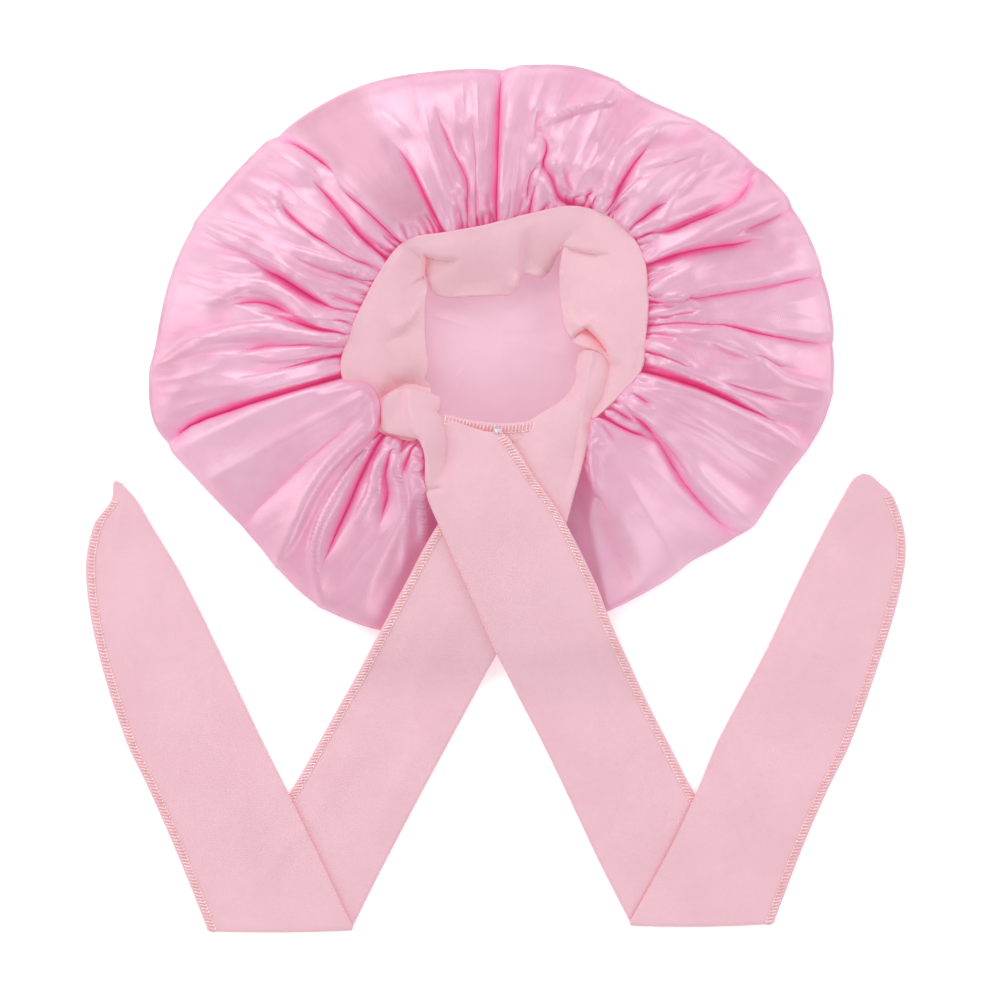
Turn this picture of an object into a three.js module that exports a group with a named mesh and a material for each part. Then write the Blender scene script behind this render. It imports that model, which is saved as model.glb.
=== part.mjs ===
// A satin sleep bonnet that lies on a table with its opening up and its two ties folded into a W.
// Millimetres, +Z up. The origin is on the table, under the middle of the bonnet's box, and +Y runs from the
// folds of the ties to the far side of the crown. Angles are counted in degrees from +X, about the crown's
// centre, anticlockwise as seen from above.
import * as THREE from "three";

// Driving dimensions
const satinWall = 1.5; // cloth of the crown, with the air in its crumples
const knitWall = 2; // two layers of jersey, in the band and the ties
const seamGap = 0.35; // between two pieces that meet at a seam
const crownCentre = new THREE.Vector2(0, 88.3); // of the opening, from the middle of the box
const rimRound = 5.5; // outer radius of the rolled rim where the bag turns over
const seamHeight = 25; // top of the gathered seam
const gatherCount = 35; // small gathers along the seam
const gatherRise = 1.6; // their height, which dies out over the first centimetres
const gatherReach = 0.16; // share of the sheet over which they die out
const gatherStart = 0.06; // and over which they rise from the seam
const foldGap = 0.6; // air between the two runs of a tie at its fold

// How the upper sheet lies: shares are of the way from the seam to where the rim begins to roll
const pressedDrop = 12; // how much lower the seam lies where the ties press the satin flat
const pressedPuff = 0.45; // puff of satin that is pressed flat
const loosePuff = 0.85; // puff of satin that lies free
const sheetFall = 0.35; // how much of the drop from the seam to the rim the bare sheet makes evenly
const rimSettle = 0.72; // share from which the sheet settles on to the rim
const foldBegin = 0.12; // share over which a fold rises from nothing
const foldFade = 0.3; // share over which it dies out
const foldPast = 0.05; // how far past its end it is still seen
const foldNarrow = 0.6; // half width of a fold at the seam, times the width in its row
const foldWiden = 0.8; // what that share gains by the rim

// How finely each surface is divided
const crownSides = 140;
const floorRings = 2;
const rimSteps = 3;
const sheetSteps = 8;
const sheetCrowding = 1.25; // crowds the steps of the sheet towards its seam
const bandStations = 68;
const bandSteps = 6;
const tieSteps = 2;
const tieStride = 11; // between two sections of a tie
const foldSteps = 5;

// Outline of the crown: the rolled rim, the gathered seam, and how far the satin puffs up between them
const outline = [
  { deg: 0, rim: 184, seam: 79, puff: 1.05 },
  { deg: 15, rim: 180, seam: 83, puff: 1 },
  { deg: 30, rim: 171, seam: 88, puff: 1 },
  { deg: 44, rim: 161, seam: 86, puff: 1 },
  { deg: 57, rim: 153, seam: 79, puff: 1 },
  { deg: 72, rim: 153, seam: 66, puff: 0.95 },
  { deg: 88, rim: 145, seam: 58, puff: 0.9 },
  { deg: 102, rim: 146, seam: 56, puff: 0.85 },
  { deg: 118, rim: 153, seam: 59, puff: 0.85 },
  { deg: 134, rim: 158, seam: 67, puff: 0.9 },
  { deg: 150, rim: 166, seam: 68, puff: 1 },
  { deg: 165, rim: 177, seam: 70, puff: 1 },
  { deg: 180, rim: 183, seam: 76, puff: 1.05 },
  { deg: 194, rim: 190, seam: 83, puff: 1.1 },
  { deg: 208, rim: 176, seam: 81, puff: 1.1 },
  { deg: 221, rim: 171, seam: 79, puff: 1 },
  { deg: 234, rim: 175, seam: 70, puff: 0.85 },
  { deg: 246, rim: 172, seam: 64, puff: 0.55 },
  { deg: 258, rim: 166, seam: 62, puff: 0.45 },
  { deg: 272, rim: 163, seam: 61, puff: 0.45 },
  { deg: 286, rim: 162, seam: 63, puff: 0.45 },
  { deg: 298, rim: 162, seam: 65, puff: 0.5 },
  { deg: 310, rim: 162, seam: 67, puff: 0.75 },
  { deg: 322, rim: 172, seam: 69, puff: 1.1 },
  { deg: 334, rim: 174, seam: 73, puff: 1.1 },
  { deg: 346, rim: 185, seam: 79, puff: 1.1 },
];

// Height of the upper sheet from the seam (0) to where the rim begins to roll (1)
const swell = [
  { along: 0, height: 0 },
  { along: 0.12, height: 6.5 },
  { along: 0.4, height: 7 },
  { along: 0.68, height: 1.5 },
  { along: 0.86, height: -6.5 },
  { along: 1, height: -14 },
];

// Main folds of the upper sheet: the angle at the seam and at the rim, how far the fold bows aside between
// them, where along the sheet it begins and ends, how high it stands (or how deep it dips) and its half width
const satinFolds = [
  { seam: 4, rim: -3, bow: 1, from: 0.2, to: 1, rise: -7, wide: 6 },
  { seam: 13, rim: 10, bow: -1, from: 0, to: 1, rise: -5, wide: 5 },
  { seam: 17, rim: 17, bow: 0, from: 0, to: 0.8, rise: 3, wide: 8 },
  { seam: 25, rim: 18, bow: 1, from: 0, to: 0.9, rise: -8, wide: 6 },
  { seam: 28, rim: 25, bow: 0, from: 0, to: 1, rise: 5, wide: 6 },
  { seam: 36, rim: 31, bow: -5, from: 0.05, to: 0.95, rise: -6, wide: 7 },
  { seam: 41, rim: 39, bow: 0, from: 0, to: 0.9, rise: 4, wide: 8 },
  { seam: 47, rim: 53, bow: 1, from: 0, to: 0.85, rise: -8, wide: 7 },
  { seam: 51, rim: 58, bow: 2, from: 0, to: 0.9, rise: 4, wide: 7 },
  { seam: 60, rim: 90, bow: 4, from: 0, to: 0.65, rise: -7, wide: 7 },
  { seam: 66, rim: 82, bow: 0, from: 0.3, to: 1, rise: 5, wide: 13 },
  { seam: 86, rim: 84, bow: 0, from: 0, to: 1, rise: 5, wide: 6 },
  { seam: 89, rim: 89, bow: 0, from: 0, to: 1, rise: -8, wide: 6 },
  { seam: 101, rim: 96, bow: -3, from: 0, to: 0.7, rise: -5, wide: 6 },
  { seam: 105, rim: 106, bow: -5, from: 0, to: 0.8, rise: -4, wide: 5 },
  { seam: 117, rim: 121, bow: -2, from: 0, to: 0.75, rise: -7, wide: 6 },
  { seam: 133, rim: 133, bow: 0, from: 0, to: 0.8, rise: 4, wide: 5 },
  { seam: 136, rim: 137, bow: 0, from: 0, to: 1, rise: -8, wide: 5 },
  { seam: 147, rim: 133, bow: 1, from: 0, to: 0.75, rise: -6, wide: 6 },
  { seam: 155, rim: 146, bow: 0, from: 0.1, to: 0.8, rise: -5, wide: 8 },
  { seam: 155, rim: 160, bow: 2, from: 0, to: 0.7, rise: 4, wide: 6 },
  { seam: 172, rim: 158, bow: -1, from: 0.05, to: 1, rise: -8, wide: 6 },
  { seam: 182, rim: 171, bow: -2, from: 0, to: 0.7, rise: -7, wide: 6 },
  { seam: 179, rim: 186, bow: -3, from: 0.05, to: 1, rise: 5, wide: 7 },
  { seam: 190, rim: 189, bow: 0, from: 0, to: 0.7, rise: -4, wide: 6 },
  { seam: 196, rim: 199, bow: -1, from: 0, to: 1, rise: -9, wide: 5 },
  { seam: 206, rim: 208, bow: 0, from: 0, to: 0.9, rise: 4, wide: 18 },
  { seam: 217, rim: 227, bow: -1, from: 0, to: 1, rise: 4, wide: 6 },
  { seam: 221, rim: 236, bow: 1, from: 0, to: 0.95, rise: -9, wide: 6 },
  { seam: 227, rim: 248, bow: 3, from: 0.1, to: 0.9, rise: 4, wide: 9 },
  { seam: 305, rim: 296, bow: 0, from: 0, to: 0.55, rise: -7, wide: 13 },
  { seam: 317, rim: 307, bow: 0, from: 0.12, to: 0.95, rise: 5, wide: 14 },
  { seam: 330, rim: 318, bow: 1, from: 0.05, to: 0.95, rise: -9, wide: 7 },
  { seam: 338, rim: 332, bow: 0, from: 0, to: 0.95, rise: 4, wide: 14 },
  { seam: 346, rim: 340, bow: 1, from: 0, to: 0.85, rise: -8, wide: 5 },
  { seam: 352, rim: 344, bow: -2, from: 0, to: 0.95, rise: 5, wide: 6 },
  { seam: 358, rim: 351, bow: 0, from: 0.3, to: 1, rise: -5, wide: 6 },
];

// The band between the two ties: distance and height of its free edge, from the right tie round to the left
const freeEdge = [
  { deg: -38, reach: 53.5, height: 21 },
  { deg: -24, reach: 47, height: 13 },
  { deg: -8, reach: 44, height: 12 },
  { deg: 10, reach: 39, height: 12 },
  { deg: 30, reach: 41.5, height: 12 },
  { deg: 43, reach: 48, height: 14 },
  { deg: 55, reach: 39, height: 13 },
  { deg: 72, reach: 29, height: 12 },
  { deg: 90, reach: 24, height: 11 },
  { deg: 112, reach: 25, height: 11 },
  { deg: 130, reach: 33, height: 12 },
  { deg: 141, reach: 48, height: 14 },
  { deg: 152, reach: 42, height: 12 },
  { deg: 172, reach: 38, height: 11 },
  { deg: 192, reach: 38, height: 12 },
  { deg: 208, reach: 42, height: 13 },
  { deg: 220, reach: 46, height: 17 },
  { deg: 233, reach: 50, height: 24 },
];
const bandSwell = 4.5; // how far the band stands above its two edges
const bandCrest = 1.3; // places that swell: it is over after 1 / 1.3 of the width
const bandFallFrom = 0.15; // share of the width from which the band falls into the opening
const bandFallTo = 1.1; // share at which the fall would end, just past the free edge

// Pinched folds of the band, from its sewn edge (0) to its free edge (1)
const bandFolds = [
  { seam: -26, rim: -14, bow: 0, from: 0.1, to: 1, rise: -4, wide: 5 },
  { seam: -10, rim: -2, bow: 0, from: 0.2, to: 1, rise: 3, wide: 6 },
  { seam: 40, rim: 38, bow: 0, from: 0.1, to: 1, rise: 3, wide: 6 },
  { seam: 50, rim: 44, bow: 0, from: 0.1, to: 1, rise: -5, wide: 5 },
  { seam: 130, rim: 134, bow: 0, from: 0.1, to: 1, rise: 3, wide: 6 },
  { seam: 136, rim: 143, bow: 0, from: 0.1, to: 1, rise: -5, wide: 5 },
  { seam: 180, rim: 168, bow: 0, from: 0.15, to: 1, rise: -3, wide: 7 },
  { seam: 205, rim: 216, bow: 0, from: 0.1, to: 1, rise: -4, wide: 6 },
  { seam: 218, rim: 224, bow: 0, from: 0.1, to: 0.9, rise: 3, wide: 5 },
];

// The ties, section by section: where the section lies in y, its left and right edges, and its underside.
// Each tie runs down over the crown to the table, turns over at its last row and comes back up as its tail.
const overRun = [
  { y: 46.5, left: -29.7, right: -28.2, height: 23 },
  { y: 42, left: -33.3, right: -20, height: 26 },
  { y: 34, left: -39.1, right: 5, height: 29.6 },
  { y: 22, left: -36.5, right: 14, height: 29.4 },
  { y: 4, left: -36, right: 25.5, height: 28 },
  { y: -13, left: -29.5, right: 37, height: 26 },
  { y: -48, left: -14, right: 54, height: 21 },
  { y: -66, left: -6, right: 63, height: 17.6 },
  { y: -80, left: 0, right: 69.5, height: 13.5 },
  { y: -94, left: 7, right: 76.5, height: 6.8 },
  { y: -112, left: 16, right: 85, height: 1 },
  { y: -132, left: 26.5, right: 95, height: 0 },
  { y: -160, left: 40, right: 108.5, height: 0 },
  { y: -229.5, left: 73.5, right: 150, height: 0 },
];
const overTail = [
  { y: -229.5, left: 73.5, right: 150, height: 2.6 },
  { y: -187, left: 95, right: 162, height: 2.6 },
  { y: -156, left: 110, right: 176, height: 2.3 },
  { y: -130, left: 119, right: 191, height: 0.3 },
  { y: -82, left: 146, right: 209, height: 0 },
  { y: -48, left: 163, right: 218, height: 0 },
  { y: -18, left: 179, right: 221.3, height: 0 },
  { y: 4, left: 189, right: 213, height: 0 },
  { y: 12.5, left: 195, right: 198.5, height: 0 },
];
const underRun = [
  { y: 54.8, left: 38.2, right: 40.8, height: 20 },
  { y: 49, left: 30.5, right: 47.5, height: 24 },
  { y: 45.2, left: 24.5, right: 51, height: 26 },
  { y: 35, left: 10.5, right: 48.5, height: 26.8 },
  { y: 13, left: -8, right: 43, height: 25.8 },
  { y: -14, left: -29.7, right: 35.5, height: 22.6 },
  { y: -49, left: -49, right: 19.5, height: 17.6 },
  { y: -66, left: -58, right: 10.5, height: 14.4 },
  { y: -80, left: -65.5, right: 3.5, height: 9.6 },
  { y: -94, left: -73, right: -4, height: 3 },
  { y: -108, left: -81, right: -11, height: 0 },
  { y: -160, left: -110.5, right: -38.5, height: 0 },
  { y: -231, left: -154.5, right: -77.5, height: 0 },
];
const underTail = [
  { y: -231, left: -154.5, right: -77.5, height: 2.6 },
  { y: -196, left: -167, right: -94.5, height: 2.6 },
  { y: -157, left: -183, right: -114.5, height: 2.3 },
  { y: -130, left: -198, right: -127.5, height: 0.3 },
  { y: -82, left: -214, right: -150.5, height: 0 },
  { y: -40, left: -221, right: -172.5, height: 0 },
  { y: -14, left: -216.5, right: -188.5, height: 0 },
  { y: 1, left: -204, right: -195.5, height: 0 },
  { y: 6.5, left: -205.5, right: -202.5, height: 0 },
];

// Colours of the cloth
const satinPink = new THREE.MeshStandardMaterial({ color: 0xf0a8c8, roughness: 0.35, metalness: 0 });
const knitPink = new THREE.MeshStandardMaterial({ color: 0xecbdc9, roughness: 0.85, metalness: 0 });

const radians = THREE.MathUtils.degToRad;
const { lerp, smoothstep } = THREE.MathUtils;

// A smooth curve through one column of a table, as a function of its key column; a turn makes it go round
function tableCurve(rows, key, column, turn = 0) {
  const ends = [rows.length - 2, rows.length - 1];
  const before = turn ? ends.map((i) => ({ at: rows[i][key] - turn, value: rows[i][column] })) : [];
  const inside = rows.map((row) => ({ at: row[key], value: row[column] }));
  const after = turn ? [0, 1].map((i) => ({ at: rows[i][key] + turn, value: rows[i][column] })) : [];
  const knots = [...before, ...inside, ...after];
  const slope = (i, j) => (knots[j].value - knots[i].value) / (knots[j].at - knots[i].at);
  const last = knots.length - 1;
  const slopes = knots.map((_, i) => slope(Math.max(i - 1, 0), Math.min(i + 1, last)));
  return (where) => {
    const at = turn ? where - turn * Math.floor((where - rows[0][key]) / turn) : where;
    let i = 0;
    while (i < last - 1 && knots[i + 1].at <= at) i += 1;
    const span = knots[i + 1].at - knots[i].at;
    const t = Math.min(Math.max((at - knots[i].at) / span, 0), 1);
    const rise = t * t * (3 - 2 * t);
    const startBend = (t * t * t - 2 * t * t + t) * span * slopes[i];
    const endBend = (t * t * t - t * t) * span * slopes[i + 1];
    return lerp(knots[i].value, knots[i + 1].value, rise) + startBend + endBend;
  };
}

const rimAt = tableCurve(outline, "deg", "rim", 360);
const seamAt = tableCurve(outline, "deg", "seam", 360);
const puffAt = tableCurve(outline, "deg", "puff", 360);
const swellAt = tableCurve(swell, "along", "height");
const freeReachAt = tableCurve(freeEdge, "deg", "reach");
const freeHeightAt = tableCurve(freeEdge, "deg", "height");

// Height that a table of folds adds at one angle, at a share along the way from the seam, on the given radius
function foldRise(folds, deg, along, radius) {
  return folds.reduce((sum, fold) => {
    const middle = lerp(fold.seam, fold.rim, along) + fold.bow * 4 * along * (1 - along);
    const turned = THREE.MathUtils.euclideanModulo(deg - middle + 180, 360) - 180;
    const away = (radians(turned) * radius) / (fold.wide * (foldNarrow + foldWiden * along));
    const begun = smoothstep(along, fold.from, fold.from + foldBegin);
    const left = 1 - smoothstep(along, fold.to - foldFade, fold.to + foldPast);
    return sum + fold.rise * Math.exp(-away * away) * begun * left;
  }, 0);
}

// A point about the crown's centre
function polarPoint(deg, radius, height) {
  const x = crownCentre.x + radius * Math.cos(radians(deg));
  const y = crownCentre.y + radius * Math.sin(radians(deg));
  return new THREE.Vector3(x, y, height);
}

// Middle of the wall of the gathered upper sheet, at an angle and at a share of the way from seam to rim roll
function upperSheet(deg, along) {
  const rollStart = rimAt(deg) - rimRound;
  const radius = lerp(seamAt(deg), rollStart, along);
  const puff = puffAt(deg);
  const gathers = Math.cos(radians(deg * gatherCount)) * gatherRise * Math.exp(-along / gatherReach);
  const folded = foldRise(satinFolds, deg, along, radius) + gathers * smoothstep(along, 0, gatherStart);
  const seam = seamHeight - pressedDrop * (1 - smoothstep(puff, pressedPuff, loosePuff));
  const rollTop = 2 * rimRound;
  const bare = lerp(seam, rollTop, smoothstep(along, 0, 1) * sheetFall);
  const height = lerp(bare + (swellAt(along) + folded) * puff, rollTop, smoothstep(along, rimSettle, 1));
  return polarPoint(deg, radius, height - satinWall / 2);
}

// The crown's wall from the middle of the floor sheet, round the rolled rim and up to the seam, at one angle
function crownSection(deg) {
  const roll = rimRound - satinWall / 2;
  const rollCentre = rimAt(deg) - rimRound;
  const points = [];
  for (let i = 0; i <= floorRings; i += 1) {
    points.push(polarPoint(deg, (rollCentre * i) / floorRings, satinWall / 2));
  }
  for (let i = 1; i <= rimSteps; i += 1) {
    const turned = Math.PI * (i / (rimSteps + 1) - 0.5);
    points.push(polarPoint(deg, rollCentre + roll * Math.cos(turned), rimRound + roll * Math.sin(turned)));
  }
  for (let i = sheetSteps; i >= 0; i -= 1) {
    points.push(upperSheet(deg, (i / sheetSteps) ** sheetCrowding));
  }
  return points;
}

// The band's wall from its sewn edge in to its free edge, at one angle
function bandSection(deg) {
  const outer = seamAt(deg) - seamGap;
  const seam = upperSheet(deg, 0).z;
  const free = freeHeightAt(deg) - knitWall / 2;
  const points = [];
  for (let i = 0; i <= bandSteps; i += 1) {
    const along = i / bandSteps;
    const radius = lerp(outer, freeReachAt(deg), along);
    const arch = bandSwell * Math.sin(Math.PI * Math.min(along * bandCrest, 1));
    const fall = smoothstep(along, bandFallFrom, bandFallTo) / smoothstep(1, bandFallFrom, bandFallTo);
    const height = lerp(seam, free, fall);
    points.push(polarPoint(deg, radius, height + arch + foldRise(bandFolds, deg, along, radius)));
  }
  return points;
}

// The sections of a tie: its run down to the table, the half turn at the fold, and its tail
function tieSections(run, tail) {
  const edge = (rows, side) => {
    const points = rows.map((row) => new THREE.Vector3(row[side], row.y, row.height));
    return new THREE.CatmullRomCurve3(points);
  };
  const across = (left, right) =>
    Array.from({ length: tieSteps + 1 }, (_, j) => {
      const point = left.clone().lerp(right, j / tieSteps);
      point.z = Math.max(point.z, 0) + knitWall / 2;
      return point;
    });
  const strip = (rows) => {
    const left = edge(rows, "left");
    const right = edge(rows, "right");
    const count = Math.round(left.getLength() / tieStride);
    const shares = Array.from({ length: count + 1 }, (_, i) => i / count);
    return shares.map((share) => across(left.getPoint(share), right.getPoint(share)));
  };
  const down = strip(run);
  const up = strip(tail);
  const turnRadius = (knitWall + foldGap) / 2;
  const fold = [];
  for (let i = 1; i < foldSteps; i += 1) {
    const turned = (Math.PI * i) / foldSteps;
    fold.push(
      down[down.length - 1].map((point, j) => {
        const y = lerp(point.y, up[0][j].y, i / foldSteps) - turnRadius * Math.sin(turned);
        return new THREE.Vector3(point.x, y, point.z + turnRadius * (1 - Math.cos(turned)));
      }),
    );
  }
  return [...down, ...fold, ...up];
}

// A closed wall of even thickness about a grid of points. Rows run along the piece, or right round it, and
// the wall's upper face is on the side from which the rows turn anticlockwise towards the columns. In the
// upright column its two faces are straight above each other, so that a sewn edge doesn't lean over its gap.
function wall(rows, thickness, upright = -1, goesRound = false) {
  const count = rows.length;
  const width = rows[0].length;
  const row = (i) => rows[goesRound ? (i + count) % count : Math.min(Math.max(i, 0), count - 1)];
  const normals = rows.map((points, i) =>
    points.map((_, j) => {
      if (j === upright) return new THREE.Vector3(0, 0, 1);
      const near = Math.max(j - 1, 0);
      const far = Math.min(j + 1, width - 1);
      const along = new THREE.Vector3().subVectors(row(i + 1)[j], row(i - 1)[j]);
      const across = new THREE.Vector3().subVectors(row(i)[far], row(i)[near]);
      return along.cross(across);
    }),
  );
  const offset = (point, normal, side) =>
    normal.length() > 1e-6
      ? point.clone().addScaledVector(normal.clone().normalize(), (side * thickness) / 2)
      : point.clone().setZ(point.z - (side * thickness) / 2);
  const face = (side) => rows.map((points, i) => points.map((p, j) => offset(p, normals[i][j], side)));
  const vertices = [];
  const triangle = (a, b, c) => {
    if (a.distanceTo(b) > 1e-4 && b.distanceTo(c) > 1e-4 && c.distanceTo(a) > 1e-4) {
      vertices.push(...a.toArray(), ...b.toArray(), ...c.toArray());
    }
  };
  const quad = (a, b, c, d) => {
    triangle(a, b, c);
    triangle(a, c, d);
  };
  const upper = face(1);
  const lower = face(-1);
  const steps = goesRound ? count : count - 1;
  for (let i = 0; i < steps; i += 1) {
    const next = (i + 1) % count;
    for (let j = 0; j < width - 1; j += 1) {
      quad(upper[i][j], upper[next][j], upper[next][j + 1], upper[i][j + 1]);
      quad(lower[i][j], lower[i][j + 1], lower[next][j + 1], lower[next][j]);
    }
    const edge = width - 1;
    quad(upper[i][edge], upper[next][edge], lower[next][edge], lower[i][edge]);
    if (!goesRound) quad(upper[next][0], upper[i][0], lower[i][0], lower[next][0]);
  }
  if (!goesRound) {
    const end = count - 1;
    for (let j = 0; j < width - 1; j += 1) {
      quad(upper[0][j], upper[0][j + 1], lower[0][j + 1], lower[0][j]);
      quad(upper[end][j + 1], upper[end][j], lower[end][j], lower[end][j + 1]);
    }
  }
  const geometry = new THREE.BufferGeometry();
  geometry.setAttribute("position", new THREE.Float32BufferAttribute(vertices, 3));
  geometry.computeVertexNormals();
  return geometry;
}

function named(name, geometry, material) {
  const mesh = new THREE.Mesh(geometry, material);
  mesh.name = name;
  return mesh;
}

// The gathered satin bag
function crown() {
  const sections = Array.from({ length: crownSides }, (_, i) => crownSection((360 * i) / crownSides));
  const seamColumn = sections[0].length - 1;
  return named("crown", wall(sections, satinWall, seamColumn, true), satinPink);
}

// The jersey band that edges the opening
function band() {
  const start = freeEdge[0].deg;
  const end = freeEdge[freeEdge.length - 1].deg;
  const shares = Array.from({ length: bandStations + 1 }, (_, i) => i / bandStations);
  const sections = shares.map((share) => bandSection(lerp(start, end, share)));
  return named("band", wall(sections, knitWall, 0), knitPink);
}

// The two ends of the band, which cross below the opening
function tie(name, run, tail) {
  return named(name, wall(tieSections(run, tail), knitWall), knitPink);
}

const bonnet = new THREE.Group();
bonnet.add(crown(), band(), tie("tie_over", overRun, overTail), tie("tie_under", underRun, underTail));

// The origin goes on the table under the middle of the box
const box = new THREE.Box3().setFromObject(bonnet);
const middle = box.getCenter(new THREE.Vector3());
bonnet.position.set(-middle.x, -middle.y, -box.min.z);

export default bonnet;
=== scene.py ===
import bpy
import numpy as np
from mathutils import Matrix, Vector


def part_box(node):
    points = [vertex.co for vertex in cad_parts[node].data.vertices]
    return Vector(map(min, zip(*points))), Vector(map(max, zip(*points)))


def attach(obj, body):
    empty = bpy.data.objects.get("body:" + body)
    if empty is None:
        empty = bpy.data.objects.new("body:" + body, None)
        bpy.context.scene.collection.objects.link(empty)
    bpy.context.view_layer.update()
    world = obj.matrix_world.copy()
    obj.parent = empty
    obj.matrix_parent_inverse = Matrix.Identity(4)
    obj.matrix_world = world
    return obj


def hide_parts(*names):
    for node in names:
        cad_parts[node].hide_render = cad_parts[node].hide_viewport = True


# A satin sleep bonnet laid flat on a table, opening up, its two ties crossed and folded into a W.
# Shapes are worked out in millimetres on a drawing whose crown centre is at (0, 88.3), angles in degrees
# anticlockwise from +X about that centre, and are moved to the frame's place as their meshes are made.
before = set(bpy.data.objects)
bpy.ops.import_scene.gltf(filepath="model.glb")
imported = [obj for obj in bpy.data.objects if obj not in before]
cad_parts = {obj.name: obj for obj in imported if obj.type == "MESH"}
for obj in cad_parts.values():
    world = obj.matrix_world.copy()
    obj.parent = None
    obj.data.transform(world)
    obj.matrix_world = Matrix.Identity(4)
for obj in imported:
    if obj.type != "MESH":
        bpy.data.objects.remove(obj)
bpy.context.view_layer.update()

metre = .001  # one millimetre of the drawing
crownCentre = np.array([0, 88.3])


def smoothStep(x, low, high):
    # 0 below low, 1 above high, and between them 3t^2 - 2t^3
    t = np.clip((x - low) / (high - low), 0, 1)
    return t * t * (3 - 2 * t)


def mix(a, b, t):
    return a + (b - a) * t


def tableCurve(at, value, turn=0):
    # a smooth curve through the knots, each piece a cubic with the slopes that join the knots on either side;
    # turn makes it go round
    at, value = np.array(at, float), np.array(value, float)
    start = at[0]
    if turn:
        at = np.concatenate([at[-2:] - turn, at, at[:2] + turn])
        value = np.concatenate([value[-2:], value, value[:2]])
    last = len(at) - 1
    before, after = np.maximum(np.arange(last + 1) - 1, 0), np.minimum(np.arange(last + 1) + 1, last)
    slope = ((value[after] - value[before]).T / (at[after] - at[before])).T

    def read(where):
        where = np.asarray(where, float)
        where = start + (where - start) % turn if turn else where
        i = np.clip(np.searchsorted(at, where, side="right") - 1, 0, last - 1)
        span = at[i + 1] - at[i]
        t = np.clip((where - at[i]) / span, 0, 1)
        if value.ndim > 1:
            span, t = span[..., None], t[..., None]
        rise = t * t * (3 - 2 * t)
        bend = (t ** 3 - 2 * t ** 2 + t) * slope[i] + (t ** 3 - t ** 2) * slope[i + 1]
        return mix(value[i], value[i + 1], rise) + bend * span
    return read


def hills(x, y, size, seed, octaves=2):
    # smooth random ground, about -1 to 1: cosines in random directions, each octave half as long and as high
    pick = np.random.default_rng(seed)
    total = np.zeros(np.broadcast(x, y).shape)
    for octave in range(octaves):
        for _ in range(6):
            heading, phase = pick.uniform(0, 2 * np.pi, 2)
            waves = 2 * np.pi / size * 2 ** octave * pick.uniform(.7, 1.3)
            total += np.cos(waves * (x * np.cos(heading) + y * np.sin(heading)) + phase) / 2 ** octave
    return total / 4


def foldProfile(away, wide, skew):
    # across a fold: exp(-|s|^1.15), with s = 1 at its half width, which is less on the side that skew
    # points to
    s = np.abs(away) / (wide * np.where(away > 0, 1 - skew, 1 + skew))
    return np.exp(-s ** 1.15)


def creases(x, y, rows):
    # height that straight or bowed folds add at x, y: each runs from (x0, y0) to (x1, y1), bows aside by bow
    # in its middle, stands `rise` high and fades out over the last part of its length, at both ends if soft
    total = np.zeros(x.shape)
    for x0, y0, x1, y1, bow, rise, wide, skew, soft in rows:
        length = np.hypot(x1 - x0, y1 - y0)
        dx, dy = (x1 - x0) / length, (y1 - y0) / length
        t = ((x - x0) * dx + (y - y0) * dy) / length
        away = (y - y0) * dx - (x - x0) * dy - bow * 4 * t * (1 - t)
        start = smoothStep(t, -.12, .3) if soft else smoothStep(t, -.08, .02)
        total += rise * foldProfile(away, wide, skew) * start * (1 - smoothStep(t, .65, 1.1))
    return total


def unit(vectors):
    return vectors / np.maximum(np.linalg.norm(vectors, axis=-1, keepdims=True), 1e-9)


def normals(grid):
    # unit normals of a grid of points: the step along the rows crossed with the step along the columns
    return unit(np.cross(np.gradient(grid, axis=0), np.gradient(grid, axis=1)))


def distanceGone(points):
    # how far each point lies from the first, in straight steps from point to point
    return np.concatenate([[0], np.cumsum(np.linalg.norm(np.diff(points, axis=0), axis=1))])


def addMesh(name, points, faces, uv, slots=None, marks=()):
    # puts arrays into a mesh: points in millimetres on the drawing, faces as vertex numbers, uv for each
    # vertex, and marks, which the materials read, as a name and a value for each vertex
    mesh = bpy.data.meshes.new(name)
    mesh.from_pydata(((points + drawingShift) * metre).tolist(), [], faces)
    corner = np.zeros(len(mesh.loops), np.int32)
    mesh.loops.foreach_get("vertex_index", corner)
    mesh.uv_layers.new(name="cloth").data.foreach_set("uv", (uv[corner] * metre).astype(np.float32).ravel())
    if slots is not None:
        mesh.polygons.foreach_set("material_index", slots.astype(np.int32))
    for label, values in marks:
        mesh.attributes.new(label, "FLOAT", "POINT").data.foreach_set("value", values.astype(np.float32))
    mesh.polygons.foreach_set("use_smooth", np.ones(len(mesh.polygons), bool))
    mesh.update()
    piece = bpy.data.objects.new(name, mesh)
    bpy.context.scene.collection.objects.link(piece)
    return piece


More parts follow.
